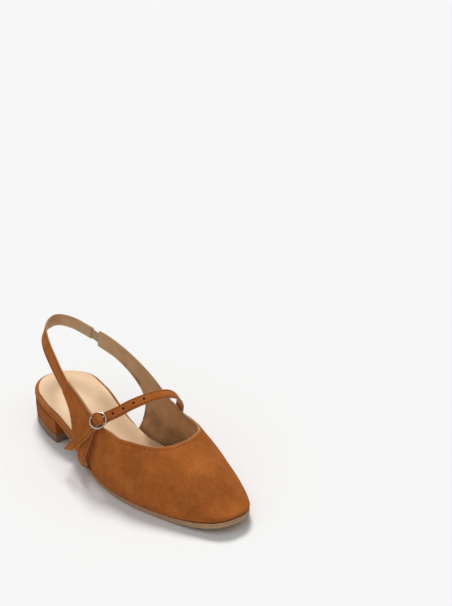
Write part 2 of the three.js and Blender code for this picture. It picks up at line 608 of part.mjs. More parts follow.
// Places and normals at even steps through rows of { place, face }
function strapLine(rows, pitch) {
  const place = rowCurve(rows.map((row) => row.place));
  const face = rowCurve(rows.map((row) => row.face));
  const middles = [];
  const normals = [];
  for (let i = 0; i < rows.length - 1; i += 1) {
    const steps = Math.max(2, Math.round(rows[i].place.distanceTo(rows[i + 1].place) / pitch));
    const last = i === rows.length - 2 ? 1 : 0;
    for (let k = 0; k < steps + last; k += 1) {
      middles.push(place(i + k / steps));
      normals.push(face(i + k / steps).normalize());
    }
  }
  return { middles, normals };
}

const asRow = (row) => ({ place: placeOf(row), face: faceOf(row) });

// Back strap: its rows give the top edge, and the lean turns its face up from level
function slingLine() {
  const top = rowCurve(SLING_ROWS.map(placeOf));
  const rows = SLING_ROWS.map((row, i) => {
    const run = top(Math.min(i + 0.1, SLING_ROWS.length - 1)).sub(top(Math.max(i - 0.1, 0))).normalize();
    const level = new THREE.Vector3(0, 0, 1).cross(run).normalize();
    const lean = THREE.MathUtils.degToRad(row.lean);
    const out = level.multiplyScalar(Math.cos(lean)).add(new THREE.Vector3(0, 0, Math.sin(lean)));
    const face = out.addScaledVector(run, -out.dot(run)).normalize();
    const down = face.clone().cross(run).normalize();
    if (down.z > 0) down.negate();
    return { place: top(i).addScaledVector(down, SLING_WIDTH / 2), face };
  });
  return strapLine(rows, STRAP_PITCH);
}

function sling() {
  const { middles, normals } = slingLine();
  return strap(middles, normals, SLING_WIDTH, WALL);
}

// Elastic between the inner wing's end and the back strap's end
function elastic() {
  const line = slingLine();
  const strapEnd = line.middles[line.middles.length - 1];
  const strapFace = line.normals[line.normals.length - 1];
  const end = upperSection(UPPER_ROWS.length - 1);
  const wingEnd = end[0].clone().lerp(end[WALL_STEPS], 0.5).addScaledVector(strapFace, -WALL / 2);
  const run = wingEnd.clone().sub(strapEnd).normalize();
  const rows = [strapEnd.clone().addScaledVector(run, 2 * GAP), wingEnd.clone().addScaledVector(run, -2 * GAP)];
  const { middles, normals } = strapLine(rows.map((place) => ({ place, face: strapFace })), STRAP_PITCH);
  return strap(middles, normals, ELASTIC_WIDTH, ELASTIC_THICKNESS);
}

// Buckle frame: along is the way the strap runs, over is away from the foot
const ringMiddle = placeOf(RING_ROW);
const ringOver = faceOf(RING_ROW);
const ringAlong = new THREE.Vector3(RING_RUN.x, RING_RUN.y, RING_RUN.z);
ringAlong.addScaledVector(ringOver, -ringAlong.dot(ringOver)).normalize();
const ringAcross = ringOver.clone().cross(ringAlong);
const ringPoint = (along, over) =>
  ringMiddle.clone().addScaledVector(ringAlong, along).addScaledVector(ringOver, over);
const ringRow = (along, over, faceAlong, faceOver) => ({
  place: ringPoint(along, over),
  face: ringAlong.clone().multiplyScalar(faceAlong).addScaledVector(ringOver, faceOver).normalize(),
});
const toRing = new THREE.Matrix4().makeBasis(ringAlong, ringAcross, ringOver).setPosition(ringMiddle);
const RING_RADIUS = (RING_DIAMETER - RING_WIRE) / 2;
const FOLD_RADIUS = BAR_WIRE / 2 + GAP + CHAPE_THICKNESS / 2;
const STRAP_OVER_BAR = FOLD_RADIUS + CHAPE_THICKNESS / 2 + GAP + STRAP_THICKNESS / 2 - BAR_DROP;
const STRAP_UNDER_RIM = -(RING_WIRE / 2 + 2 * GAP + STRAP_THICKNESS / 2);
const CHAPE_UNDER_RIM = STRAP_UNDER_RIM - (STRAP_THICKNESS + CHAPE_THICKNESS) / 2 - 2 * GAP;

function instepStrapLine() {
  return strapLine(
    [
      ...STRAP_ROWS.map(asRow),
      ringRow(-1.13 * RING_RADIUS, STRAP_UNDER_RIM, -0.15, 1),
      ringRow(-0.67 * RING_RADIUS, 0.92 * STRAP_UNDER_RIM, -0.6, 1),
      ringRow(-0.35 * RING_RADIUS, 0.5 * STRAP_OVER_BAR, -0.9, 1),
      ringRow(0, STRAP_OVER_BAR, 0, 1),
      ringRow(0.35 * RING_RADIUS, 0.5 * STRAP_OVER_BAR, 0.9, 1),
      ringRow(0.67 * RING_RADIUS, 0.92 * STRAP_UNDER_RIM, 0.6, 1),
      ringRow(1.13 * RING_RADIUS, STRAP_UNDER_RIM, 0.15, 1),
      ...FREE_END_ROWS.map(asRow),
    ],
    STRAP_PITCH,
  );
}

// Hole cutter across the strap at a distance back along it from the buckle's bar
function strapHole(line, distance) {
  const bar = ringPoint(0, STRAP_OVER_BAR);
  let i = 0;
  line.middles.forEach((middle, k) => {
    if (middle.distanceTo(bar) < line.middles[i].distanceTo(bar)) i = k;
  });
  let left = distance;
  while (left > line.middles[i].distanceTo(line.middles[i - 1])) {
    left -= line.middles[i].distanceTo(line.middles[i - 1]);
    i -= 1;
  }
  const t = left / line.middles[i].distanceTo(line.middles[i - 1]);
  const place = line.middles[i].clone().lerp(line.middles[i - 1], t);
  const punch = new THREE.CylinderGeometry(HOLE_DIAMETER / 2, HOLE_DIAMETER / 2, 3 * STRAP_THICKNESS, 10);
  const turned = new THREE.Quaternion().setFromUnitVectors(new THREE.Vector3(0, 1, 0), line.normals[i]);
  return punch.applyQuaternion(turned).translate(place.x, place.y, place.z);
}

// Pin from one place of the buckle's frame to another
function ringPin(from, to, radius, sides) {
  const a = ringPoint(from.along, from.over);
  const b = ringPoint(to.along, to.over);
  const pin = new THREE.CylinderGeometry(radius, radius, a.distanceTo(b), sides);
  const run = b.clone().sub(a).normalize();
  pin.applyQuaternion(new THREE.Quaternion().setFromUnitVectors(new THREE.Vector3(0, 1, 0), run));
  return pin.translate((a.x + b.x) / 2, (a.y + b.y) / 2, (a.z + b.z) / 2);
}

const PRONG_ROOT = { along: -(BAR_WIRE / 2 + GAP), over: BAR_WIRE / 2 + GAP - BAR_DROP };
const PRONG_TIP = { along: -RING_RADIUS - RING_WIRE / 2, over: (RING_WIRE + PRONG_WIRE) / 2 + GAP };

function instepStrap() {
  const line = instepStrapLine();
  const tip = (share) => (share > 0.985 ? 0.3 : 1);
  const band = strap(line.middles, line.normals, STRAP_WIDTH, STRAP_THICKNESS, tip);
  const holes = Array.from({ length: SPARE_HOLES }, (unused, k) => strapHole(line, (k + 1.25) * HOLE_PITCH));
  return cut(band, ringPin(PRONG_ROOT, PRONG_TIP, PRONG_WIRE / 2 + GAP, 10), ...holes);
}

// Chape: up from the feather line, round the bar and back beneath itself, with a slot for the prong
function chape() {
  const fold = [];
  for (let degrees = 45; degrees <= 270; degrees += 45) {
    const angle = THREE.MathUtils.degToRad(degrees);
    const [c, s] = [Math.cos(angle), Math.sin(angle)];
    fold.push(ringRow(FOLD_RADIUS * c, FOLD_RADIUS * s - BAR_DROP, c, s));
  }
  const { middles, normals } = strapLine(
    [
      ...CHAPE_ROWS.map(asRow),
      ringRow(RING_RADIUS + 2 * GAP, CHAPE_UNDER_RIM, 0.1, 1),
      ringRow(0.55 * RING_RADIUS, CHAPE_UNDER_RIM + CHAPE_THICKNESS / 2, 0.55, 1),
      ...fold,
      ringRow(0.5 * RING_RADIUS, CHAPE_UNDER_RIM - 0.8 * CHAPE_THICKNESS, -0.3, -1),
    ],
    STRAP_PITCH,
  );
  const band = strap(middles, normals, STRAP_WIDTH, CHAPE_THICKNESS);
  const slot = new THREE.BoxGeometry(5 * FOLD_RADIUS, PRONG_WIRE + 4 * GAP, 4 * FOLD_RADIUS);
  slot.translate(-1.2 * FOLD_RADIUS, 0, -BAR_DROP).applyMatrix4(toRing);
  return cut(band, slot);
}

function buckle() {
  const ring = new THREE.TorusGeometry(RING_RADIUS, RING_WIRE / 2, 8, 28).applyMatrix4(toRing);
  const bar = new THREE.CylinderGeometry(BAR_WIRE / 2, BAR_WIRE / 2, 2 * RING_RADIUS, 10);
  bar.translate(0, 0, -BAR_DROP).applyMatrix4(toRing);
  return join(ring, bar);
}

function prong() {
  const eye = new THREE.TorusGeometry(BAR_WIRE / 2 + GAP + PRONG_WIRE / 2, PRONG_WIRE / 2, 8, 14);
  eye.rotateX(Math.PI / 2).translate(0, 0, -BAR_DROP).applyMatrix4(toRing);
  return join(eye, ringPin(PRONG_ROOT, PRONG_TIP, PRONG_WIRE / 2, 10));
}

const shoe = new THREE.Group();
const add = (name, geometry, color, roughness, metalness = 0) => {
  const mesh = new THREE.Mesh(geometry, new THREE.MeshStandardMaterial({ color, roughness, metalness }));
  mesh.name = name;
  shoe.add(mesh);
};
const SUEDE = 0xa45f2c;
const LINING = 0xc7a176;
add("outsole", outsole(), 0xbf9a76, 0.7);
add("heel_block", heelBlock(), SUEDE, 0.95);
add("top_lift", topLift(), 0x6b5540, 0.8);
add("insole_board", insoleBoard(), SUEDE, 0.95);
add("sock", sock(), LINING, 0.6);
add("upper", upper(), SUEDE, 0.95);
add("sling_strap", sling(), SUEDE, 0.95);
add("elastic", elastic(), 0xd8bfa0, 0.9);
add("instep_strap", instepStrap(), SUEDE, 0.95);
add("buckle_strap", chape(), SUEDE, 0.95);
add("buckle_ring", buckle(), 0xd0d0cc, 0.2, 1);
add("buckle_prong", prong(), 0xd0d0cc, 0.2, 1);

// The origin is the middle of the heel's underside
const heelBack = edgePoint(HEEL_TURN + 1, -HEEL_SET_BACK - HEEL_TAPER).x;
shoe.position.set(-(heelBack + HEEL_LENGTH) / 2, -soleMid(HEEL_LENGTH / 2), 0);

export default shoe;
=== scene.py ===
"""Slingback pump, the right shoe of a pair: its looks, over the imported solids.

Surfaces are worked out in millimetres in the shoe's own layout, with x from the back of the heel rim
to the toe, y to the inner side of the foot and z up from the floor. make() moves them to the row frame.
"""

import math

import bmesh
import bpy
import numpy as np
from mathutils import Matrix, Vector


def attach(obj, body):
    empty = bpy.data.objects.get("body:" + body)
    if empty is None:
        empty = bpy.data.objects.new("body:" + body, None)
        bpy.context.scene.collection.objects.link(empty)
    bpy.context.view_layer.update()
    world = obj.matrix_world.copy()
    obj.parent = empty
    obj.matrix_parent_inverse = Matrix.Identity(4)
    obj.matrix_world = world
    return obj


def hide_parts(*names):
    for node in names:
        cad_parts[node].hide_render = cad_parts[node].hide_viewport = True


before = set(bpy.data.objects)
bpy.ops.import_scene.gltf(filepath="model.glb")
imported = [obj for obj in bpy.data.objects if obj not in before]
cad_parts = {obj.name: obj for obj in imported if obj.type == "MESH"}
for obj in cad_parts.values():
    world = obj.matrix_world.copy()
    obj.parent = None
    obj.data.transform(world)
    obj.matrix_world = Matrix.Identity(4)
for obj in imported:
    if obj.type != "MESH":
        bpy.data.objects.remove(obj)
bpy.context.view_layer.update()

ORIGIN = np.array([31.95, 3.5863, 0.0])  # the row's origin in the shoe's layout

LENGTH = 250.0
BALL_WIDTH = 77.0
HALF_BALL = BALL_WIDTH / 2
HEEL_HEIGHT = 20.2
HEEL_LENGTH = 63.0
LIFT_HEIGHT = 6.8
TOE_SPRING = 6.0
SOLE_EDGE_TOE = 4.4
SOLE_EDGE_WAIST = 2.2
RIM_HEIGHT = 5.0
BOARD_FRONT = 2.5
SOCK_THICKNESS = 1.0
SOCK_MARGIN = 3.4
HEEL_SET_BACK = 0.5
HEEL_TAPER = 0.4
SOLE_SET_BACK = 2.0
WALL = 1.6
GAP = 0.3
BOARD_CLEAR = 0.9
BELLY_HEIGHT = 6.5
BELLY_FRONT = 0.7
BELLY_TOE = -0.35
TUCK = 1.6
SEAM_STEP = 0.5
THROAT_HEIGHT = 41.6
SLING_HEIGHT = 72.5
SLING_WIDTH = 9.5
STRAP_WIDTH = 8.6
STRAP_THICKNESS = 1.6
CHAPE_THICKNESS = 1.4
ELASTIC_WIDTH = 7.6
ELASTIC_THICKNESS = 1.0
RING_DIAMETER = 15.0
RING_WIRE = 1.6
BAR_WIRE = 1.4
PRONG_WIRE = 1.1
BAR_DROP = 1.0
HOLE_DIAMETER = 2.0
HOLE_PITCH = 8.7
SPARE_HOLES = 4

HEEL_ROUND = 0.12 * LENGTH
TOE_START = 0.84 * LENGTH
TREAD_BACK = 0.56 * LENGTH
TREAD_FRONT = 0.8 * LENGTH
EDGE_STEP = 0.2 * LENGTH
HEEL_TURN = 1 + (TOE_START - HEEL_ROUND) / EDGE_STEP
TOE_POWER = 2.5
VAMP_POWER = 3.0
VAMP_POWER_TOE = 2.0
WAIST_POWER = 1.7

# Sole outline: station, middle line, half width
SOLE = np.array([
    (0.0, 0.078, 0.356), (0.064, 0.075, 0.36), (0.12, 0.05, 0.375), (0.2, 0.0, 0.384),
    (0.288, -0.034, 0.366), (0.4, -0.052, 0.355), (0.52, -0.054, 0.446), (0.62, -0.023, 0.5),
    (0.72, 0.004, 0.494), (0.82, 0.031, 0.43), (0.9, 0.039, 0.366), (0.96, 0.036, 0.334),
    (1.02, 0.032, 0.318),
])
# Ridge of the last over the forepart: station, sideways place, height
RIDGE = np.array([
    (0.52, 0.006, 1.73), (0.588, 0.012, 1.4), (0.62, 0.02, 1.298), (0.664, 0.024, 1.19),
    (0.692, 0.026, 1.094), (0.716, 0.026, 1.029), (0.73, 0.026, 0.998), (0.8, 0.028, 0.858),
    (0.86, 0.032, 0.748), (0.9, 0.036, 0.63), (0.96, 0.036, 0.46), (1.02, 0.033, 0.36),
])
# Sections of the upper: top edge (at, out, up), foot (turn, or None with at, out, up), bow, last
UPPER = [
    (0.312, -0.686, 0.822, None, (0.3, -0.769, 0.703), 0.0, 0),
    (0.336, -0.709, 0.804, None, (0.322, -0.779, 0.614), 0.1, 0),
    (0.362, -0.735, 0.786, None, (0.339, -0.784, 0.51), 0.2, 0),
    (0.388, -0.753, 0.759, None, (0.35, -0.795, 0.379), 0.3, 0),
    (0.412, -0.771, 0.735, -3.38, None, 0.4, 0),
    (0.44, -0.79, 0.697, -3.2, None, 0.45, 0),
    (0.472, -0.805, 0.659, -2.96, None, 0.55, 0),
    (0.52, -0.831, 0.614, -2.64, None, 0.8, 0),
    (0.572, -0.839, 0.574, -2.28, None, 1.2, 0.5),
    (0.62, -0.826, 0.541, -1.92, None, 1.6, 1),
    (0.656, -0.727, 0.538, -1.52, None, 1.6, 1),
    (0.684, -0.597, 0.552, -1.12, None, 1.6, 1),
    (0.712, -0.403, 0.558, -0.74, None, 1.6, 1),
    (0.727, -0.156, 0.566, -0.34, None, 1.6, 1),
    (0.73, 0.052, 0.568, 0.0, None, 1.6, 1),
    (0.729, 0.26, 0.568, 0.34, None, 1.6, 1),
    (0.718, 0.494, 0.566, 0.74, None, 1.6, 1),
    (0.702, 0.675, 0.56, 1.12, None, 1.6, 1),
    (0.676, 0.795, 0.558, 1.48, None, 1.6, 1),
    (0.64, 0.826, 0.566, 1.84, None, 1.6, 1),
    (0.588, 0.818, 0.593, 2.2, None, 1.4, 0.5),
    (0.544, 0.81, 0.648, 2.56, None, 0.9, 0),
    (0.5, 0.8, 0.717, 2.86, None, 0.6, 0),
    (0.46, 0.8, 0.786, 3.08, None, 0.45, 0),
    (0.416, 0.805, 0.841, 3.22, None, 0.35, 0),
    (0.388, 0.81, 0.869, None, (0.426, 0.714, 0.372), 0.3, 0),
    (0.356, 0.818, 0.894, None, (0.416, 0.748, 0.51), 0.2, 0),
    (0.312, 0.831, 0.921, None, (0.39, 0.779, 0.607), 0.1, 0),
    (0.252, 0.831, 0.952, None, (0.328, 0.81, 0.697), 0.0, 0),
    (0.2, 0.826, 0.968, None, (0.248, 0.81, 0.772), 0.0, 0),
    (0.158, 0.805, 0.975, None, (0.151, 0.795, 0.8), 0.0, 0),
]
SEAM_OUTER = 7
SEAM_INNER = 21
FIRST_FEATHER = 4
LAST_FEATHER = 24

# Back strap: top edge and the degrees it leans in
SLING = np.array([
    (0.307, -0.677, 0.824, 23), (0.247, -0.558, 0.87, 25), (0.182, -0.418, 0.914, 29),
    (0.115, -0.262, 0.95, 30), (0.052, -0.078, 0.979, 25), (0.004, 0.135, 0.997, 13),
    (-0.022, 0.374, 1.004, 0), (-0.017, 0.574, 1.0, -7), (0.03, 0.727, 0.989, -12),
    (0.12, 0.79, 0.972, -10),
])
# Instep strap, its free end and the chape: middle, then the way the face looks
STRAP = np.array([
    (0.498, 0.806, 0.078, 0.0, 1.0, 0.0), (0.504, 0.88, 0.179, 0.0, 1.0, 0.02),
    (0.516, 0.92, 0.303, 0.0, 0.99, 0.08), (0.532, 0.93, 0.441, 0.03, 0.96, 0.18),
    (0.552, 0.935, 0.575, 0.12, 0.88, 0.38), (0.565, 0.878, 0.685, 0.25, 0.7, 0.62),
    (0.57, 0.765, 0.768, 0.35, 0.4, 0.85), (0.572, 0.597, 0.825, 0.4, 0.2, 0.89),
    (0.569, 0.39, 0.847, 0.42, 0.05, 0.9), (0.566, 0.182, 0.852, 0.42, -0.05, 0.9),
    (0.561, -0.078, 0.841, 0.42, -0.15, 0.89), (0.553, -0.312, 0.811, 0.41, -0.28, 0.86),
    (0.545, -0.506, 0.772, 0.4, -0.4, 0.82),
])
FREE_END = np.array([
    (0.494, -1.096, 0.531, 0.12, -0.88, 0.46), (0.472, -1.169, 0.438, -0.06, -0.94, 0.34),
    (0.447, -1.205, 0.348, -0.14, -0.95, 0.28), (0.415, -1.226, 0.218, -0.16, -0.95, 0.26),
])
CHAPE = np.array([
    (0.466, -0.951, 0.066, 0.0, -0.95, -0.3), (0.465, -1.023, 0.11, 0.0, -0.9, -0.3),
    (0.468, -1.081, 0.193, 0.0, -0.99, -0.05), (0.475, -1.091, 0.29, 0.03, -0.97, 0.15),
    (0.486, -1.06, 0.393, 0.1, -0.93, 0.3),
])
RING = np.array([0.52, -0.88, 0.698])
RING_FACE = np.array([0.35, -0.55, 0.75])
RING_RUN = np.array([-0.355, -0.825, -0.44])
PLACE = np.array([LENGTH, HALF_BALL, SLING_HEIGHT])


def unit(v):
    """v over its own length, along the last axis."""
    return v / np.maximum(np.linalg.norm(v, axis=-1, keepdims=True), 1e-12)


def ease(x, low, high):
    """0 at low, 1 at high, level at both ends: t squared times (3 - 2t)."""
    t = np.clip((np.asarray(x, float) - low) / (high - low), 0, 1)
    return t * t * (3 - 2 * t)


def mix(a, b, t):
    """a at t 0 and b at t 1."""
    return a + (b - a) * t


def curve(xs, ys, x):
    """Cubic pieces through the points (xs, ys). Each slope comes from the two neighbouring points."""
    xs, ys, x = (np.asarray(v, float) for v in (xs, ys, x))
    i = np.searchsorted(xs[1:-1], x, side="left")
    before, after = np.maximum(np.arange(len(xs)) - 1, 0), np.minimum(np.arange(len(xs)) + 1, len(xs) - 1)
    slope = (ys[after] - ys[before]) / (xs[after] - xs[before])
    span = xs[i + 1] - xs[i]
    t = np.clip((x - xs[i]) / span, 0, 1)
    ends = mix(ys[i], ys[i + 1], t * t * (3 - 2 * t))
    return ends + t * (1 - t) ** 2 * span * slope[i] + t * t * (t - 1) * span * slope[i + 1]


def through(points, u):
    """curve() through rows of points, by row number u."""
    points = np.asarray(points, float)
    return np.stack([curve(np.arange(len(points)), column, u) for column in points.T], -1)


def sole_mid(x):
    """Middle line of the sole at station x."""
    return curve(SOLE[:, 0] * LENGTH, SOLE[:, 1] * BALL_WIDTH, x)


def sole_half(x):
    """Half width of the sole at station x."""
    return curve(SOLE[:, 0] * LENGTH, SOLE[:, 2] * BALL_WIDTH, x)


def ridge(x):
    """Sideways place and height of the last's ridge at station x."""
    at = RIDGE[:, 0] * LENGTH
    return curve(at, RIDGE[:, 1] * BALL_WIDTH, x), curve(at, RIDGE[:, 2] * THROAT_HEIGHT, x)


def edge_point(turn, grow=0.0):
    """Point of the sole's edge, moved out by grow. turn is 0 at the toe, 1 where its curve ends, then
    counts steps back along the side, and is negative on the outer side. Toe and heel are superellipses."""
    turn, grow = np.broadcast_arrays(np.asarray(turn, float), np.asarray(grow, float))
    side = np.where(turn < 0, -1.0, 1.0)
    size = np.abs(turn)
    angle = np.minimum(size, 1) * np.pi / 2
    heel_angle = np.maximum(size - HEEL_TURN, 0) * np.pi / 2
    cos, sin = np.clip(np.cos(angle), 0, 1), np.clip(np.sin(angle), 0, 1)
    x = TOE_START - (size - 1) * EDGE_STEP
    x = np.where(size < 1, TOE_START + (LENGTH - TOE_START + grow) * cos ** (2 / TOE_POWER), x)
    width = np.where(size < 1, sin ** (2 / TOE_POWER), 1.0)
    back = size > HEEL_TURN
    x = np.where(back, HEEL_ROUND - (HEEL_ROUND + grow) * np.sin(heel_angle), x)
    width = np.where(back, np.cos(heel_angle), width)
    return x, sole_mid(x) + side * (sole_half(x) + grow) * width


def underside_up(x):
    """Underside of the outsole: flat under the ball, up with a power of the way back and at the toe."""
    back = np.clip((TREAD_BACK - x) / (TREAD_BACK - HEEL_LENGTH), 0, 1)
    arch = (HEEL_HEIGHT - SOLE_EDGE_WAIST) * back**WAIST_POWER
    spring = TOE_SPRING * (np.maximum(x - TREAD_FRONT, 0) / (LENGTH - TREAD_FRONT)) ** 2
    return np.where(x > TREAD_FRONT, spring, arch)


def sole_edge(x):
    """Thickness of the outsole's edge."""
    return mix(SOLE_EDGE_WAIST, SOLE_EDGE_TOE, np.clip((x / LENGTH - 0.4) / 0.55, 0, 1))


def feather_up(x):
    """Top of the outsole, or of the heel block."""
    return np.where(x < HEEL_LENGTH, HEEL_HEIGHT, underside_up(x) + sole_edge(x))


def board_thickness(x):
    """Padded rim at the back, thin board in the forepart."""
    return mix(RIM_HEIGHT, BOARD_FRONT, ease(x, 0.36 * LENGTH, 0.6 * LENGTH))


def board_up(x):
    """Underside of the rim: the feather line evened out over 12 mm either way."""
    return np.mean([feather_up(x + step) for step in np.linspace(-12, 12, 9)], 0) + GAP


def sock_up(x):
    """Underside of the sock."""
    return board_up(x) + board_thickness(x) + GAP


def forepart(x):
    """0 behind the waist and 1 in front of it."""
    return ease(x, 0.38 * LENGTH, 0.48 * LENGTH)


def belly_out(x):
    """How far the upper swells beyond the sole."""
    ahead = mix(BELLY_FRONT, BELLY_TOE, ease(x, 0.8 * LENGTH, 0.94 * LENGTH))
    return mix(WALL + GAP, ahead, forepart(x))


def belly_up(x):
    """Height of the upper's widest line."""
    return feather_up(x) + BELLY_HEIGHT * (1 - 0.75 * ease(x, 0.66 * LENGTH, LENGTH))


def board_in(x):
    """How far the board stands in from the sole's edge."""
    return WALL + GAP + TUCK * forepart(x) - belly_out(x) + BOARD_CLEAR * forepart(x)


def sock_in(x):
    """How far the sock stands in from the sole's edge."""
    front = board_in(x) + mix(3, 9, ease(x, 0.66 * LENGTH, 0.86 * LENGTH)) * GAP
    return mix(SOCK_MARGIN, front, ease(x, 0.3 * LENGTH, 0.5 * LENGTH))


def fall(share, power):
    """Superellipse: 1 in the middle, 0 at share 1."""
    return np.clip(1 - np.clip(share, 0, 1) ** power, 0, 1) ** (1 / power)


def last_up(x, y):
    """Height of the last over (x, y): it falls from the ridge to the belly line as a superellipse."""
    aside, top = ridge(x)
    edge = sole_mid(x) + np.sign(y - aside) * (sole_half(x) + belly_out(x))
    toe = np.clip((x - TOE_START) / (LENGTH + BELLY_TOE - TOE_START), 0, 1)
    reach = (edge - sole_mid(x)) * fall(toe, TOE_POWER) + sole_mid(x) - aside
    share = np.clip(np.abs((y - aside) / (np.abs(reach) + 1e-6)), 0, 1)
    power = mix(VAMP_POWER, VAMP_POWER_TOE, ease(x, 0.67 * LENGTH, 0.866 * LENGTH))
    return belly_up(x) + (top - belly_up(x)) * fall(toe, power) * fall(share, power)


def lumps(points, size, seed):
    """Soft unevenness: the mean of six sine waves that run in different ways, between about -1 and 1."""
    rng = np.random.default_rng(seed)
    ways = unit(rng.normal(size=(6, 3))) * 2 * np.pi / (size * rng.uniform(0.7, 1.6, (6, 1)))
    return np.mean(np.sin(points @ ways.T + rng.uniform(0, 2 * np.pi, 6)), -1)


def along(points):
    """Distance from the first point to each, along axis 0."""
    steps = np.linalg.norm(np.diff(points, axis=0), axis=-1)
    return np.concatenate([np.zeros((1,) + steps.shape[1:]), np.cumsum(steps, 0)])


def even(points, count):
    """count points at even distances along a line of points."""
    way = along(points)
    want = np.linspace(0, way[-1], count)
    return np.stack([np.interp(want, way, column) for column in points.T], -1)


def make(name, sheets, materials, node=None, crease=38, weld=0.01):
    """One piece out of sheets: a grid of points, its material's number and, for some, a UV grid. Points
    are in the shoe's layout in millimetres. Doubles are merged and faces turned outwards."""
    points, faces, marks, uvs = [], [], [], []
    start = 0
    for grid, mark, *given in sheets:
        uv = given[0] if given else np.zeros(grid.shape[:2] + (2,))
        rows, columns = grid.shape[:2]
        index = np.arange(rows * columns).reshape(rows, columns) + start
        quads = np.stack([index[:-1, :-1], index[1:, :-1], index[1:, 1:], index[:-1, 1:]], -1).reshape(-1, 4)
        points.append(grid.reshape(-1, 3))
        uvs.append(uv.reshape(-1, 2))
        faces.append(quads)
        marks.append(np.full(len(quads), mark))
        start += rows * columns
    points, faces = np.concatenate(points), np.concatenate(faces)
    marks, uvs = np.concatenate(marks), np.concatenate(uvs)
    mesh = bpy.data.meshes.new(name)
    mesh.from_pydata(((points - ORIGIN) / 1000).tolist(), [], faces.tolist())
    mesh.polygons.foreach_set("material_index", marks.astype(np.int32))
    layer = mesh.uv_layers.new(name="UVMap")
    loop_points = np.zeros(len(mesh.loops), np.int32)
    mesh.loops.foreach_get("vertex_index", loop_points)
    layer.data.foreach_set("uv", uvs[loop_points].ravel())
    bm = bmesh.new()
    bm.from_mesh(mesh)
    bmesh.ops.remove_doubles(bm, verts=bm.verts, dist=weld / 1000)
    bmesh.ops.dissolve_degenerate(bm, edges=bm.edges, dist=1e-7)
    bmesh.ops.recalc_face_normals(bm, faces=bm.faces)
    bm.to_mesh(mesh)
    bm.free()
    mesh.polygons.foreach_set("use_smooth", np.ones(len(mesh.polygons), bool))
    mesh.set_sharp_from_angle(angle=math.radians(crease))
    piece = bpy.data.objects.new(name, mesh)
    bpy.context.scene.collection.objects.link(piece)
    for material in materials if isinstance(materials, (list, tuple)) else [materials]:
        mesh.materials.append(material)
    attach(piece, "root")
    if node:
        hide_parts(node)
    return piece


# Shader maths

class Value:
    """A shader socket. Plain arithmetic on it adds the Math nodes."""

    def __init__(self, paint, socket):
        self.paint = paint
        self.socket = socket

    def _with(self, operation, *others):
        return self.paint.node("ShaderNodeMath", {"operation": operation}, *others)

    def __add__(self, other):
        return self._with("ADD", self, other)

    def __sub__(self, other):
        return self._with("SUBTRACT", self, other)

    def __mul__(self, other):
        return self._with("MULTIPLY", self, other)

    def __rsub__(self, other):
        return self._with("SUBTRACT", other, self)

    __radd__ = __add__
    __rmul__ = __mul__

    def clamp(self):
        """Between 0 and 1."""
        return self.paint.node("ShaderNodeClamp", {}, self)

    def step(self, low, high):
        """0 at low and 1 at high, with soft ends."""
        return self.paint.node("ShaderNodeMapRange", {"interpolation_type": "SMOOTHSTEP"}, self, low, high)


class Paint:
    """One material and its nodes."""

    def __init__(self, name, roughness=0.6, metallic=0.0, **fixed):
        self.material = bpy.data.materials.new(name)
        self.material.use_nodes = True
        self.nodes = self.material.node_tree.nodes
        self.links = self.material.node_tree.links
        self.shader = self.nodes["Principled BSDF"]
        self.set("Roughness", roughness)
        self.set("Metallic", metallic)
        for key, value in fixed.items():
            self.set(key.replace("_", " "), value)

    def set(self, socket, value):
        """A value or a link into one of the shader's sockets."""
        self.feed(self.shader.inputs[socket], value)

    def feed(self, socket, value):
        """A link from a Value, or a plain value."""
        if isinstance(value, Value):
            self.links.new(value.socket, socket)
        elif hasattr(value, "__len__"):
            size = len(socket.default_value)
            socket.default_value = (list(value) + [1.0])[:size]
        else:
            socket.default_value = value

    def node(self, kind, settings, *values, output=0, **named):
        """A node with its settings, then its sockets in order or by name."""
        made = self.nodes.new(kind)
        for key, value in settings.items():
            setattr(made, key, value)
        for socket, value in zip(made.inputs, values):
            self.feed(socket, value)
        for key, value in named.items():
            self.feed(made.inputs[key.replace("_", " ")], value)
        return Value(self, made.outputs[output])

    def place(self):
        """Object coordinates, in metres."""
        return self.node("ShaderNodeTexCoord", {}, output="Object")

    def uv(self):
        """The piece's own UV map, in millimetres, as two values."""
        split = self.nodes.new("ShaderNodeSeparateXYZ")
        self.links.new(self.node("ShaderNodeTexCoord", {}, output="UV").socket, split.inputs[0])
        return Value(self, split.outputs[0]), Value(self, split.outputs[1])

    def noise(self, scale, detail=3.0, roughness=0.55, vector=None):
        """Noise between about 0.3 and 0.7; scale is in waves per metre."""
        spot = vector or self.place()
        return self.node("ShaderNodeTexNoise", {}, Vector=spot, Scale=scale, Detail=detail,
                         Roughness=roughness)

    def blend(self, share, low, high):
        """Colour low at share 0 and high at share 1."""
        made = self.nodes.new("ShaderNodeMix")
        made.data_type = "RGBA"
        self.feed(made.inputs["Factor"], share)
        self.feed(made.inputs[6], low)
        self.feed(made.inputs[7], high)
        return Value(self, made.outputs[2])

    def bump(self, height, distance, strength=1.0):
        """Relief of height times distance, in metres."""
        self.set("Normal", self.node("ShaderNodeBump", {}, Height=height, Distance=distance,
                                     Strength=strength))


def tone(text):
    """Linear colour of six hex digits."""
    parts = [int(text[i:i + 2], 16) / 255 for i in (0, 2, 4)]
    return [p / 12.92 if p <= 0.04045 else ((p + 0.055) / 1.055) ** 2.4 for p in parts]


def mottle(*layers, centre=0.5):
    """Share between two colours, out of (noise, weight) layers about a centre."""
    return (sum((noise - 0.5) * weight for noise, weight in layers) + centre).clamp()


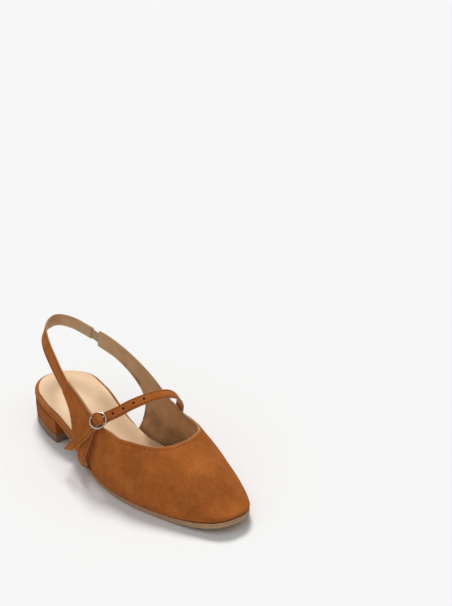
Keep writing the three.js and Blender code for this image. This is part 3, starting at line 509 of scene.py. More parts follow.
def suede(name, light, dark):
    """Brushed suede: broad cloudy patches, small streaks of nap, and fine fibres as relief."""
    paint = Paint(name, 0.92, Sheen_Weight=0.12, Sheen_Roughness=0.5, Sheen_Tint=tone("D98C4C"),
                  Specular_IOR_Level=0.12)
    clouds = paint.noise(38, 4, 0.6)
    patches = paint.noise(130, 3, 0.6)
    streaks = paint.noise(520, 4, 0.65)
    fibre = paint.noise(2600, 3, 0.7)
    share = mottle((clouds, 1.5), (patches, 0.7), (streaks, 0.8), (fibre, 1.2), centre=0.52)
    paint.set("Base Color", paint.blend(share, dark, light))
    paint.set("Roughness", (clouds * 0.1 + 0.86).clamp())
    paint.bump(fibre * 0.6 + streaks * 0.4, 0.00035, 0.9)
    return paint.material


SUEDE = suede("cognac suede", tone("C17031"), tone("934E1E"))
# Painted shade: a darker copy of the same suede for the heel block, standing in for the shade on the heel's
# side.
SUEDE_HEEL_SHADED = suede("cognac suede with painted shade over the heel", tone("AB622A"), tone("7F451B"))
SUEDE_RIM = suede("cognac suede over the rim", tone("B76F3A"), tone("8A4E22"))
THREAD = Paint("cognac thread", 0.6, Base_Color=tone("B0682E"), Specular_IOR_Level=0.3)
THREAD.bump(THREAD.noise(5200, 2), 0.0001, 0.6)
# Painted shade: the dark colour of the flat ellipsoids at the stitches' ends stands in for the shade inside
# the holes the needle left.
NEEDLE_HOLE_SHADE = Paint("painted needle-hole shade", 0.95, Base_Color=tone("3A1E0C"), Specular_IOR_Level=0.05)
NEEDLE_HOLE_SHADE.bump(NEEDLE_HOLE_SHADE.noise(3000, 2), 0.0001, 0.3)


def lining_finish():
    """Smooth tan lining leather with faint grain, and small wrinkles low on the wall: a wave down the
    wall, pushed about by noise, that sets in 16 to 28 mm below the top edge and ends at 60 to 64 mm. The
    wave also lightens and darkens the colour: painted light and shade on the wrinkles."""
    paint = Paint("tan lining", 0.6, Specular_IOR_Level=0.3)
    clouds, grain = paint.noise(70, 3), paint.noise(1500, 4, 0.6)
    down = paint.uv()[1]
    push = paint.noise(110, 2)
    wave = paint.node("ShaderNodeMath", {"operation": "SINE"}, down * (2 * math.pi / 1.9) + push * 16)
    wrinkle_and_shade = wave * down.step(16, 28) * (1 - down.step(60, 64)) * paint.noise(60, 2).step(0.35, 0.55)
    # The wave in the colour is painted light and shade on the wrinkles; in the bump it is their relief.
    share = ((clouds - 0.5) * 1.4 + (grain - 0.5) * 0.7 + wrinkle_and_shade * 0.3 + 0.5).clamp()
    paint.set("Base Color", paint.blend(share, tone("B38B62"), tone("D8B085")))
    paint.bump(grain * 0.15 + wrinkle_and_shade * 0.85, 0.0012, 0.8)
    return paint.material


def pale_lining_finish():
    """Paler lining piece inside the end of the back strap, with faint grain."""
    paint = Paint("pale lining", 0.6, Specular_IOR_Level=0.3)
    clouds, grain = paint.noise(90, 3), paint.noise(1500, 4, 0.6)
    paint.set("Base Color", paint.blend(mottle((clouds, 1.2), (grain, 0.6)), tone("B2926C"), tone("D0B28C")))
    paint.bump(grain, 0.00012, 0.6)
    return paint.material


def edge_finish():
    """Raw edge of suede and lining: speckled beige."""
    paint = Paint("cut edge", 0.85, Specular_IOR_Level=0.2)
    speck = paint.noise(1800, 3)
    paint.set("Base Color", paint.blend((speck * 1.4 - 0.2).clamp(), tone("9C6F48"), tone("CBA27C")))
    paint.bump(speck, 0.0001, 0.5)
    return paint.material


def sock_finish():
    """Smooth beige sock leather: even tone, tiny pores and a soft gloss."""
    paint = Paint("beige sock leather", 0.5, Specular_IOR_Level=0.35)
    clouds, pores = paint.noise(40, 2), paint.noise(2400, 2, 0.5)
    paint.set("Base Color", paint.blend(mottle((clouds, 1.2), (pores, 0.3)), tone("E6BD92"), tone("F3D1A9")))
    paint.set("Roughness", (clouds * 0.2 + 0.42).clamp())
    paint.bump(pores, 0.00005, 0.5)
    return paint.material


def sole_finish():
    """Sole edge: beige with fine lengthwise layers, and painted shade as a darker line in its groove."""
    paint = Paint("beige sole edge", 0.55, Specular_IOR_Level=0.35)
    rise = paint.uv()[1]
    layers = paint.noise(900, 3, 0.6, paint.node("ShaderNodeVectorMath", {"operation": "MULTIPLY"},
                                                paint.place(), (0.12, 0.12, 1.6)))
    base = paint.blend(mottle((layers, 1.8)), tone("A5805D"), tone("CBA681"))
    # Painted shade: a darker band along the groove in the sole's edge.
    line = (rise - 0.62).step(0.0, 0.05) * (1 - (rise - 0.72).step(0.0, 0.05))
    paint.set("Base Color", paint.blend(line * 0.55, base, tone("76573D")))
    paint.bump(layers - line, 0.0002, 0.6)
    return paint.material


def lift_finish():
    """Rubber lift: brown, finely speckled."""
    paint = Paint("brown rubber lift", 0.7, Specular_IOR_Level=0.3)
    speck, clouds = paint.noise(2200, 3), paint.noise(120, 2)
    paint.set("Base Color", paint.blend(mottle((speck, 0.8), (clouds, 1)), tone("7C624A"), tone("9A7E65")))
    paint.bump(speck, 0.0001, 0.5)
    return paint.material


def elastic_finish():
    """Woven elastic: narrow ribs across its width and a fine cross weave."""
    paint = Paint("beige elastic", 0.8, Specular_IOR_Level=0.2)
    run, across = paint.uv()
    rib = paint.node("ShaderNodeMath", {"operation": "SINE"}, across * (2 * math.pi / 0.8))
    pick = paint.node("ShaderNodeMath", {"operation": "SINE"}, run * (2 * math.pi / 0.55))
    share = (rib * 0.3 + pick * 0.15 + 0.5).clamp()
    paint.set("Base Color", paint.blend(share, tone("B6976F"), tone("D6B992")))
    paint.bump(rib * 0.7 + pick * 0.3, 0.0002, 0.8)
    return paint.material


def metal_finish():
    """Polished nickel with faint wear."""
    paint = Paint("polished nickel", 0.24, 1.0)
    wear = paint.noise(300, 3)
    paint.set("Base Color", paint.blend(wear, tone("BEBAB2"), tone("DEDBD4")))
    paint.set("Roughness", (wear * 0.14 + 0.2).clamp())
    return paint.material


LINING = lining_finish()
CUT_EDGE = edge_finish()
SOCK = sock_finish()
SOLE_EDGE = sole_finish()
LIFT = lift_finish()
ELASTIC = elastic_finish()
PALE_LINING = pale_lining_finish()
METAL = metal_finish()
# Painted shade: the walls and floor of each shallow strap hole take this dark colour, which stands in for
# the shade inside a hole.
HOLE_SHADE = Paint("strap hole with painted shade", 0.95, Base_Color=tone("2A1608")).material


# Bottom pieces

def even_turns(back, front, count):
    """Turns between two stations, at even distances along the sole's edge."""
    dense = np.linspace(back, front, 1500)
    x, y = edge_point(dense)
    way = along(np.stack([x, y], -1))
    return np.interp(np.linspace(0, way[-1], count), way, dense)


def edge_ring(turns, grow, up):
    """Closed loop of the sole's edge moved out by grow(x), at height up(x): the outer side, then back
    along the inner side."""
    whole = np.concatenate([-turns, turns[::-1]])
    near, _ = edge_point(whole)
    x, y = edge_point(whole, grow(near))
    return np.stack([x, y, up(x)], -1)


def wall_of(rings):
    """Sheet through closed loops, with its UV: distance round the loop and share of the height."""
    grid = np.stack([np.concatenate([ring, ring[:1]]) for ring in rings], 1)
    run = along(grid[:, 0])[:, None]
    rise = np.linspace(0, 1, len(rings))[None]
    uv = np.stack(np.broadcast_arrays(run, rise), -1)
    return grid, uv


def lid(ring, across, rise=0.0, edge=6.0):
    """Sheet across a loop, from its outer side to its inner side, raised by rise away from the edge."""
    half = len(ring) // 2
    a, b = ring[:half], ring[half:][::-1]
    s = np.linspace(0, 1, across + 1)[None, :, None]
    grid = mix(a[:, None], b[:, None], s)
    width = np.linalg.norm(b - a, axis=-1)[:, None]
    inside = np.minimum(s[..., 0], 1 - s[..., 0]) * width
    ends = np.minimum(along(a), along(a)[-1] - along(a))[:, None]
    grid[..., 2] += rise * ease(np.minimum(inside, ends), 0, edge)
    return grid


def closed(grid, uv, rings, across=4):
    """Sheets of a closed piece: its wall, and the lids across its first and its last loop."""
    return [(grid, 0, uv), (lid(rings[0], across), 0), (lid(rings[-1], across), 0)]


ENDMOST = 0.012  # loops stop this turn short of the toe's tip and of the heel's back
BACK_TURN = HEEL_TURN + 1 - ENDMOST


def turn_at(x):
    """Turn of the straight part of the edge at station x."""
    return 1 + (TOE_START - x) / EDGE_STEP


def make_outsole():
    """Outsole: rings up its edge with a small groove, notched along its lower corner."""
    turns = even_turns(turn_at(HEEL_LENGTH + GAP), ENDMOST, 900)
    whole = np.concatenate([-turns, turns[::-1]])
    run = along(np.stack(edge_point(whole), -1))
    notch = 0.5 + 0.5 * np.cos(2 * np.pi * run / 2.3)
    inset = lambda x: SOLE_SET_BACK * (1 - ease(x, 0.3 * LENGTH, 0.46 * LENGTH))
    profile = [(1.3, 0.0), (0.6, 0.0), (0.25, 0.06), (0.05, 0.2), (0.0, 0.4), (0.02, 0.6),
               (0.22, 0.68), (0.04, 0.76), (0.05, 0.9), (0.3, 1.0)]
    rings = []
    for more, share in profile:
        cuts = notch * (0.32 if share < 0.3 else 0.0)
        rings.append(edge_ring(turns, lambda x: -inset(x) - more - cuts,
                               lambda x: underside_up(x) + share * sole_edge(x)))
    grid, uv = wall_of(rings)
    under = lid(rings[0], 12)
    make("outsole_dressed", [(grid, 0, uv), (under, 0), (lid(rings[-1], 4), 0)], SOLE_EDGE, "outsole")


def make_heel():
    """Covered heel block with a slightly full wall, over a rubber lift with a groove round it."""
    turns = even_turns(BACK_TURN, turn_at(HEEL_LENGTH), 150)
    draw = lambda up: HEEL_SET_BACK + HEEL_TAPER * (1 - up / HEEL_HEIGHT)
    ring = lambda up, more: edge_ring(turns, lambda x: -draw(up) - more, lambda x: np.full_like(x, up))
    low, high = LIFT_HEIGHT + GAP, HEEL_HEIGHT
    ups = [(low, 0.45), (low + 0.25, 0.12), (low + 0.6, 0.0)]
    ups += [(mix(low, high, s), -0.2 * math.sin(math.pi * s)) for s in np.linspace(0.1, 0.93, 9)]
    ups += [(high - 0.7, 0.12), (high - 0.3, 0.5), (high - 0.06, 1.0), (high, 1.7)]
    rings = [ring(up, more) for up, more in ups]
    grid, uv = wall_of(rings)
    grid += 0.06 * lumps(grid, 9, 4)[..., None] * np.array([1, 1, 0])
    # The heel's cover takes the darker suede with painted shade.
    make("heel_cover", closed(grid, uv, rings), SUEDE_HEEL_SHADED, "heel_block")
    lift = [ring(up, more) for up, more in
            [(0, 0.5), (0.15, 0.25), (0.5, 0.1), (2.0, 0.1), (2.15, 0.25), (2.35, 0.25), (2.5, 0.1),
             (LIFT_HEIGHT - 0.2, 0.1), (LIFT_HEIGHT, 0.3)]]
    grid, uv = wall_of(lift)
    make("rubber_lift", closed(grid, uv, lift), LIFT, "top_lift")


def make_rim():
    """Padded, suede-covered rim of the insole board: a half-round section all the way round."""
    turns = even_turns(BACK_TURN, ENDMOST, 420)
    rings = []
    for angle in np.linspace(-90, 90, 17):
        c, s = math.cos(math.radians(angle)), math.sin(math.radians(angle))
        deep = 2.6 if s < 0 else 1.7
        rings.append(edge_ring(turns, lambda x: -board_in(x) - deep * (1 - c),
                               lambda x: board_up(x) + (0.5 + 0.5 * s) * board_thickness(x)))
    grid, uv = wall_of(rings)
    grid += 0.06 * lumps(grid, 7, 5)[..., None]
    make("padded_rim", closed(grid, uv, rings, 6), SUEDE_RIM, "insole_board")


def make_sock():
    """Sock: a thin rounded edge and a softly padded top."""
    turns = even_turns(BACK_TURN, ENDMOST, 360)
    ring = lambda more, share: edge_ring(turns, lambda x: -sock_in(x) - more,
                                         lambda x: sock_up(x) + share * SOCK_THICKNESS)
    rings = [ring(0.1, 0.0), ring(0, 0.3), ring(0.05, 0.6), ring(0.2, 0.85), ring(0.5, 0.98), ring(0.9, 1.0)]
    grid, uv = wall_of(rings)
    top = lid(rings[-1], 40, 0.5, 9)
    top[..., 2] += 0.12 * lumps(top, 38, 6)
    top[:, [0, -1]] = np.stack([rings[-1][: len(turns)], rings[-1][len(turns):][::-1]], 1)
    top[0] = mix(rings[-1][0], rings[-1][-1], np.linspace(0, 1, 41)[:, None])
    top[-1] = mix(rings[-1][len(turns) - 1], rings[-1][len(turns)], np.linspace(0, 1, 41)[:, None])
    make("sock_leather", [(grid, 0, uv), (top, 0), (lid(rings[0], 4), 0)], SOCK, "sock")


# Upper

ROW_NUMBERS = np.arange(len(UPPER))
WALL_ROWS = 73
HOLLOW_DEPTH = 6.2  # at the row LAST_FEATHER the inner quarter's columns move forward by up to this
HOLLOW_TOP = 46.0  # height at which that ends
HOLLOW_ROWS = 2.5  # it sets in over this many rows before that one
HOLLOW_FADE = 0.85  # and behind it fades by the power of e over this many
SEAM_HALF = 0.004  # half the width of the step at a seam, in rows


def feather_foot(turn):
    """Foot of the upper on the feather line at a turn."""
    near, _ = edge_point(turn)
    x, y = edge_point(turn, belly_out(near))
    return np.stack([x, y, feather_up(np.minimum(x, LENGTH)) + GAP], -1)


def upper_frame(u):
    """Top edge and foot of the upper at row numbers u."""
    tops = np.array([row[:3] for row in UPPER]) * PLACE
    last = np.array([row[6] for row in UPPER], float)
    tops[:, 2] = mix(tops[:, 2], last_up(tops[:, 0], tops[:, 1]), last)
    top = through(tops, u)
    turns = np.array([row[3] for row in UPPER[FIRST_FEATHER:LAST_FEATHER + 1]], float)
    turn = curve(np.arange(FIRST_FEATHER, LAST_FEATHER + 1), turns, np.clip(u, FIRST_FEATHER, LAST_FEATHER))
    foot = feather_foot(turn)
    outer = [np.array(row[4]) * PLACE for row in UPPER[:FIRST_FEATHER]]
    outer.append(feather_foot(UPPER[FIRST_FEATHER][3]))
    inner = [feather_foot(UPPER[LAST_FEATHER][3])]
    inner += [np.array(row[4]) * PLACE for row in UPPER[LAST_FEATHER + 1:]]
    foot = np.where((u < FIRST_FEATHER)[:, None], through(outer, np.clip(u, 0, FIRST_FEATHER)), foot)
    beyond = np.clip(u - LAST_FEATHER, 0, len(inner) - 1)
    foot = np.where((u > LAST_FEATHER)[:, None], through(inner, beyond), foot)
    return top, foot, turn


def upper_grid(u):
    """Outer face of the upper: columns by row number u, rows from the top edge to the foot. A wing is a
    bowed straight line, and the vamp lies on the last, then drops to the feather line and tucks in. The
    inner quarter's columns bend forward round its hollow back edge."""
    top, foot, turn = upper_frame(u)
    bow = curve(ROW_NUMBERS, [row[5] * WALL for row in UPPER], u)[:, None]
    on_last = np.clip(curve(ROW_NUMBERS, [row[6] for row in UPPER], u), 0, 1)[:, None, None]
    side = np.sign(top[:, 1] - sole_mid(top[:, 0]))[:, None]
    side = np.where(side == 0, 1, side)
    belly = belly_up(np.minimum(foot[:, 0], LENGTH))[:, None]
    t = np.linspace(0, 1, 2 * WALL_ROWS)[None]
    wing = mix(top[:, None], foot[:, None], t[..., None])
    wing[..., 1] += side * bow * 4 * t * (1 - t)
    way = 1 - (1 - np.minimum(t / 0.75, 1)) ** 2.4
    x = mix(top[:, :1], foot[:, :1], way)
    y = mix(top[:, 1:2], foot[:, 1:2], way)
    over = last_up(np.minimum(x, LENGTH + BELLY_TOE), y) - belly
    match = (top[:, 2:] - belly) / np.maximum(last_up(top[:, 0], top[:, 1])[:, None] - belly, 1)
    drop = np.clip((t - 0.75) / 0.25, 0, 1)
    z = np.where(drop > 0, mix(belly, foot[:, 2:], drop), belly + over * mix(match, 1, way))
    vamp = np.stack([x, y, z], -1)
    grid = np.stack([mix(even(w, WALL_ROWS), even(v, WALL_ROWS), s) for w, v, s in zip(wing, vamp, on_last)])
    held = ((u >= FIRST_FEATHER) & (u <= LAST_FEATHER))[:, None]
    inward = np.stack(edge_point(turn), -1) - np.stack(edge_point(turn, 1.0), -1)
    down = np.clip((belly - grid[..., 2]) / np.maximum(belly - foot[:, 2:], 1e-6), 0, 1)
    tuck = np.where(held, TUCK * forepart(foot[:, :1]) * down * down, 0)
    grid[..., :2] += inward[:, None] * tuck[..., None]
    near = np.where(u <= LAST_FEATHER, ease(u, LAST_FEATHER - HOLLOW_ROWS, LAST_FEATHER),
                    np.exp(-np.maximum(u - LAST_FEATHER, 0) / HOLLOW_FADE))[:, None]
    rise = (grid[..., 2] - foot[:, 2:]) / np.maximum(HOLLOW_TOP - foot[:, 2:], 1)
    grid[..., 0] += HOLLOW_DEPTH * near * np.sin(np.pi * np.clip(rise, 0, 1)) ** 0.7
    return grid


def dents(grid):
    """Listed soft troughs and ridges of the worn-in suede: centre, reach and depth."""
    spots = [((176, -33, 22), 16, -0.5), ((150, -37, 20), 12, -0.35), ((205, -18, 26), 22, 0.35),
             ((190, 22, 33), 15, -0.4), ((222, 6, 26), 14, -0.3), ((168, 33, 26), 12, -0.4)]
    total = 0
    for centre, reach, depth in spots:
        away = np.linalg.norm(grid - np.array(centre), axis=-1) / reach
        total = total + depth * np.exp(-away * away * 2)
    return total


def upper_columns():
    """Row numbers of the columns, finer where the rows stand further apart, with a close pair at a seam."""
    marks = np.arange(0, len(UPPER) - 1 + 1e-9, 1 / 16)
    for seam in (SEAM_OUTER, SEAM_INNER):
        close = [seam - 5 * SEAM_HALF, seam - SEAM_HALF, seam + SEAM_HALF, seam + 5 * SEAM_HALF]
        marks = np.concatenate([marks[np.abs(marks - seam) > 0.03], close])
    return np.sort(marks)


U = upper_columns()
RAISED = (ease(U, SEAM_OUTER - SEAM_HALF, SEAM_OUTER + SEAM_HALF)
          * (1 - ease(U, SEAM_INNER - SEAM_HALF, SEAM_INNER + SEAM_HALF)))
BARE = upper_grid(U)


def facing(grid):
    """Normals of the upper's grid that look away from the wearer's foot, level along the lower edge. On a
    wing, a normal that looks inwards, as where columns cross, is turned round."""
    normal = np.cross(np.gradient(grid, U, axis=0), np.gradient(grid, axis=1))
    tip = normal[len(U) // 2, WALL_ROWS - 4]
    normal = normal * np.sign(tip[0])
    wings = ((U < FIRST_FEATHER + 0.5) | (U > LAST_FEATHER - 0.5))[:, None]
    inside_out = wings & (normal[..., 1] * (grid[..., 1] - sole_mid(grid[..., 0])) < 0)
    normal = np.where(inside_out[..., None], -normal, normal)
    level = ease(np.arange(WALL_ROWS), 0.88 * WALL_ROWS, WALL_ROWS - 1)[None]
    normal[..., 2] *= 1 - level
    return unit(normal)


NORMALS = facing(BARE)
WAVE = dents(BARE) + 0.12 * lumps(BARE, 17, 7) * ease(np.arange(WALL_ROWS), 0, 10)[None]
OUTER = BARE + NORMALS * (SEAM_STEP * RAISED[:, None] + WAVE)[..., None]
INNER = BARE - NORMALS * (WALL - WAVE * 0.7)[..., None]


def half_round(outside, inside, ahead):
    """Half-round edge between two borders, swelling ahead of them."""
    angle = np.linspace(0, np.pi, 7)[None, :, None]
    middle, half = (outside + inside) / 2, (outside - inside) / 2
    size = np.linalg.norm(half, axis=-1, keepdims=True)
    bulge = unit(ahead) * size * 0.8
    return middle[:, None] + half[:, None] * np.cos(angle) + bulge[:, None] * np.sin(angle)


def make_upper():
    """Upper: suede outside, lining inside, and a rounded cut edge round the top and the free lower edge."""
    down = np.stack([along(column) for column in OUTER])
    inside_down = np.stack([along(column) for column in INNER])
    run = along(OUTER[:, 0])[:, None] + 0 * down
    top = half_round(OUTER[:, 0], INNER[:, 0], BARE[:, 0] - BARE[:, 1])
    foot = half_round(OUTER[:, -1], INNER[:, -1], (BARE[:, -1] - BARE[:, -2]) * 0.2)
    back = half_round(OUTER[0], INNER[0], BARE[0] - BARE[1])
    end = half_round(OUTER[-1], INNER[-1], BARE[-1] - BARE[-2])
    sheets = [(OUTER, 0, np.stack([run, down], -1)), (INNER, 1, np.stack([run, inside_down], -1)),
              (top, 2), (foot, 0), (back, 0), (end, 2)]
    for a, b in ((back[0], top[0]), (back[-1], foot[0]), (end[0], top[-1]), (end[-1], foot[-1])):
        sheets.append((np.stack([a, b]), 2))
    make("upper_suede", sheets, [SUEDE, LINING, CUT_EDGE], "upper", crease=50)


def on_upper(u, distance):
    """Points and normals on the upper's outer face at row numbers u, at a distance below the top edge."""
    columns = np.interp(u, U, np.arange(len(U)))
    points, normals = [], []
    for c, d in zip(columns, np.broadcast_to(distance, columns.shape)):
        i = min(int(c), len(U) - 2)
        line = mix(OUTER[i], OUTER[i + 1], c - i)
        face = mix(NORMALS[i], NORMALS[i + 1], c - i)
        way = along(line)
        points.append([np.interp(d, way, line[:, k]) for k in range(3)])
        normals.append([np.interp(d, way, face[:, k]) for k in range(3)])
    return np.array(points), unit(np.array(normals))


# Stitches

THREADS, NEEDLE_HOLE_SHADES = [], []


def stitch(points, normals, pitch=2.7, size=1.7, width=0.5, high=0.2):
    """Row of stitches along a line, a pitch apart: each is a small flat ellipsoid with a dark flat
    ellipsoid at its end, painted shade for the hole the needle left."""
    way = along(points)
    count = max(int(way[-1] / pitch), 1)
    want = (np.arange(count) + 0.5) * way[-1] / count
    pick = lambda values, at: np.stack([np.interp(at, way, c) for c in values.T], -1)
    up = unit(pick(normals, want))
    run = unit(pick(points, want + 0.2) - pick(points, want - 0.2) + 1e-9)
    aside = unit(np.cross(up, run))
    lat, lon = np.meshgrid(np.linspace(0, np.pi, 5), np.linspace(0, 2 * np.pi, 7), indexing="ij")
    ball = np.stack([np.cos(lat), np.sin(lat) * np.cos(lon), np.sin(lat) * np.sin(lon)], -1)
    frames = np.stack([run, aside, up], 1)
    thread = pick(points, want)[:, None, None] + np.einsum(
        "rcs,nsk->nrck", ball * np.array([size / 2, width / 2, high]), frames)
    # Dark ellipsoid of painted shade where the needle's hole lies
    ends = pick(points, np.minimum(want + pitch / 2, way[-1]))[:, None, None]
    hole_shade = ends + np.einsum(
        "rcs,nsk->nrck", ball * np.array([0.5 * (pitch - size), 0.9 * width, 0.12]), frames)
    THREADS.extend(thread)
    NEEDLE_HOLE_SHADES.extend(hole_shade)


def make_stitches():
    """All the stitches as one mesh, and the dark ellipsoids of painted shade at the needle's holes as
    another.
    """
    make("stitches", [(ball, 0) for ball in THREADS], THREAD.material, None, 60, weld=0.002)
    make("needle_hole_shades", [(ball, 0) for ball in NEEDLE_HOLE_SHADES], NEEDLE_HOLE_SHADE.material, None, 60, weld=0.002)


# Straps

STITCH_INSET = 1.3  # row of stitches in from a strap's edge
STITCH_END = 1.5  # and short of its ends
FURROW_DEPTH = 0.12
FURROW_REACH = 0.35
SLANT_REACH = 16.0  # length over which a slanted end is drawn back


def strap_line(rows, faces, pitch=0.9):
    """Middles and unit normals at close steps through the rows of a strap."""
    u = np.linspace(0, len(rows) - 1, 60 * len(rows))
    line = through(rows, u)
    way = along(line)
    want = np.interp(np.linspace(0, way[-1], int(way[-1] / pitch) + 1), way, u)
    return through(rows, want), unit(through(faces, want))


def section(width, thickness, rounding=5.0):
    """Closed section of a flat strap: a superellipse, wide across and thin through."""
    angle = np.linspace(0, 2 * np.pi, 49)
    c, s = np.cos(angle), np.sin(angle)
    power = 2 / rounding
    return np.stack([np.sign(c) * np.abs(c) ** power * width / 2,
                     np.sign(s) * np.abs(s) ** power * thickness / 2], -1)


def sweep(middles, normals, profile, taper=None, seam_at=None):
    """Section carried along a line of middles, with a shallow furrow at seam_at from its middle."""
    run = unit(np.gradient(middles, axis=0))
    face = unit(normals - run * np.sum(run * normals, -1, keepdims=True))
    across = np.cross(face, run)
    size = np.ones(len(middles)) if taper is None else taper
    a = profile[None, :, 0] * size[:, None]
    b = np.broadcast_to(profile[None, :, 1], a.shape)
    if seam_at:
        off = (np.abs(profile[None, :, 0]) - seam_at) / FURROW_REACH
        b = b - np.sign(b) * FURROW_DEPTH * np.exp(-(off**2))
    grid = middles[:, None] + across[:, None] * a[..., None] + face[:, None] * b[..., None]
    way = np.broadcast_to(along(middles)[:, None], a.shape)
    return grid, np.stack([way, a], -1), face, across


def end_caps(grid):
    """Sheets that close both ends of a swept section."""
    caps = []
    for ring in (grid[0], grid[-1]):
        loop = ring[:-1]
        half = len(loop) // 2
        one, other = loop[:half][:, None], loop[half:][::-1][:, None]
        caps.append(mix(one, other, np.linspace(0, 1, 3)[None, :, None]))
    return caps


def capped(grid, uv):
    """Sheets of a swept piece of one material: its wall and its two ends."""
    return [(grid, 0, uv)] + [(cap, 0) for cap in end_caps(grid)]


def strap_piece(name, middles, normals, width, thickness, node, taper=None, slant=0.0):
    """Flat suede strap with a lined back, raw edges and a row of stitches along each edge. slant cuts its
    end at an angle: its last part is drawn back by 0 at one edge and by slant at the other."""
    profile = section(width, thickness)
    seam_at = width / 2 - STITCH_INSET
    grid, uv, face, across = sweep(middles, normals, profile, taper, seam_at)
    if slant:
        left = along(middles)[-1] - along(middles)
        share = np.clip(1 - left / SLANT_REACH, 0, 1)[:, None]
        back = slant * (0.5 + profile[None, :, 0] / width) * share
        grid = grid - unit(np.gradient(middles, axis=0))[:, None] * back[..., None]
    half = (len(profile) - 1) // 2
    sheets = [(grid[:, a: b + 1], mark, uv[:, a: b + 1]) for a, b, mark in
              ((0, 2, 2), (2, half - 2, 0), (half - 2, half + 2, 2), (half + 2, 2 * half - 2, 1),
               (2 * half - 2, 2 * half, 2))]
    sheets += [(cap, 2) for cap in end_caps(grid)]
    piece = make(name, sheets, [SUEDE, LINING, CUT_EDGE], node, 50)
    size = np.ones(len(middles)) if taper is None else taper
    for side in (-1, 1):
        line = middles + across * (side * seam_at * size)[:, None] + face * (thickness / 2 - 0.05)
        way = along(line)
        last = way[-1] - STITCH_END - slant * (side + 1) / 2
        keep = (way > STITCH_END) & (way < last)
        stitch(line[keep], face[keep])
    return piece


def sling_rows():
    """Middles and faces of the back strap's rows, from its top edge and its lean."""
    tops = SLING[:, :3] * PLACE
    n = np.arange(len(tops))
    run = unit(through(tops, np.minimum(n + 0.1, n[-1])) - through(tops, np.maximum(n - 0.1, 0)))
    level = unit(np.cross([0, 0, 1], run))
    lean = np.radians(SLING[:, 3:])
    face = level * np.cos(lean) + np.array([0, 0, 1]) * np.sin(lean)
    face = unit(face - run * np.sum(face * run, -1, keepdims=True))
    down = unit(np.cross(face, run))
    down = down * -np.sign(down[:, 2:])
    return tops + down * SLING_WIDTH / 2, face


def make_sling():
    """Back strap, whose first end is sunk a little into the outer quarter, and the pale lining piece inside
    its other end. Gives its middles and normals."""
    rows, faces = sling_rows()
    start = rows[0] - unit(rows[1] - rows[0]) * 3 - faces[0] * 0.55
    rows[0] -= faces[0] * 0.45
    rows, faces = np.concatenate([start[None], rows]), np.concatenate([faces[:1], faces])
    middles, normals = strap_line(rows, faces)
    strap_piece("back_strap", middles, normals, SLING_WIDTH, WALL, "sling_strap")
    left = along(middles)[-1] - along(middles)
    end = (left < 16) & (left > 0.4)
    grid, uv, _, _ = sweep(middles[end] - normals[end] * (WALL / 2 + 0.1), normals[end],
                           section(SLING_WIDTH - 0.8, 0.6, 4))
    make("strap_end_lining", capped(grid, uv), PALE_LINING)
    return middles, normals


def make_elastic(middles, normals):
    """Elastic between the back strap and the inner wing, with a cross-stitched square at each end."""
    strap_end, face = middles[-1], normals[-1]
    wing_end = (BARE[-1, 0] + BARE[-1, -1]) / 2 - face * WALL / 2
    run = unit(wing_end - strap_end)
    line = np.linspace(strap_end - run * 1.0, wing_end + run * 0.8, 24)
    faces = np.repeat(face[None], len(line), 0)
    profile = section(ELASTIC_WIDTH, ELASTIC_THICKNESS, 6)
    grid, uv, _, _ = sweep(line, faces, profile)
    make("elastic_band", capped(grid, uv), ELASTIC, "elastic")
    across = np.cross(face, run)
    for foot, way in ((strap_end, -run), (wing_end, run)):
        lift = face * (WALL / 2 + 0.02) if way @ run < 0 else face * (WALL / 2 + 0.1)
        corners = [foot + way * d + across * a + lift for d, a in
                   ((1.0, -3), (1.0, 3), (5.6, 3), (5.6, -3))]
        for a, b in ((0, 1), (1, 2), (2, 3), (3, 0), (0, 2), (1, 3)):
            line = np.linspace(corners[a], corners[b], 12)
            stitch(line, np.repeat(face[None], 12, 0), 1.6, 1.1, 0.36, 0.16)


# Buckle and instep strap

ring_middle = RING * PLACE
ring_over = unit(RING_FACE)
ring_along = unit(RING_RUN - ring_over * (RING_RUN @ ring_over))
ring_across = np.cross(ring_over, ring_along)
RING_RADIUS = (RING_DIAMETER - RING_WIRE) / 2
FOLD_RADIUS = BAR_WIRE / 2 + GAP + CHAPE_THICKNESS / 2
STRAP_OVER_BAR = FOLD_RADIUS + CHAPE_THICKNESS / 2 + GAP + STRAP_THICKNESS / 2 - BAR_DROP
STRAP_UNDER_RIM = -(RING_WIRE / 2 + 2 * GAP + STRAP_THICKNESS / 2)
CHAPE_UNDER_RIM = STRAP_UNDER_RIM - (STRAP_THICKNESS + CHAPE_THICKNESS) / 2 - 2 * GAP
PUFF_REACH = 3.4  # the strap swells over the bar, and less and less away from it
FREE_END_SLANT = 11.0
FIRST_HOLE = 1.6  # from the bar, in hole pitches
HOLE_DEPTH = 0.35  # a hole's floor lies this far under the strap's middle; it is painted dark as shade
RING_SLIMMER = 0.5  # the ring's radius is drawn smaller by this
WIRE_SLIMMER = 0.2


def ring_rows(rows):
    """Places and faces in the buckle's frame: distance along, distance over, and the face's two parts."""
    rows = np.array(rows, float)
    places = ring_middle + rows[:, :1] * ring_along + rows[:, 1:2] * ring_over
    return places, unit(rows[:, 2:3] * ring_along + rows[:, 3:] * ring_over)


def joined(*groups):
    """Rows of several (places, faces) groups, one after another."""
    return np.concatenate([g[0] for g in groups]), np.concatenate([g[1] for g in groups])


def table_rows(table):
    """Places and faces of a strap's table."""
    return table[:, :3] * PLACE, unit(table[:, 3:])


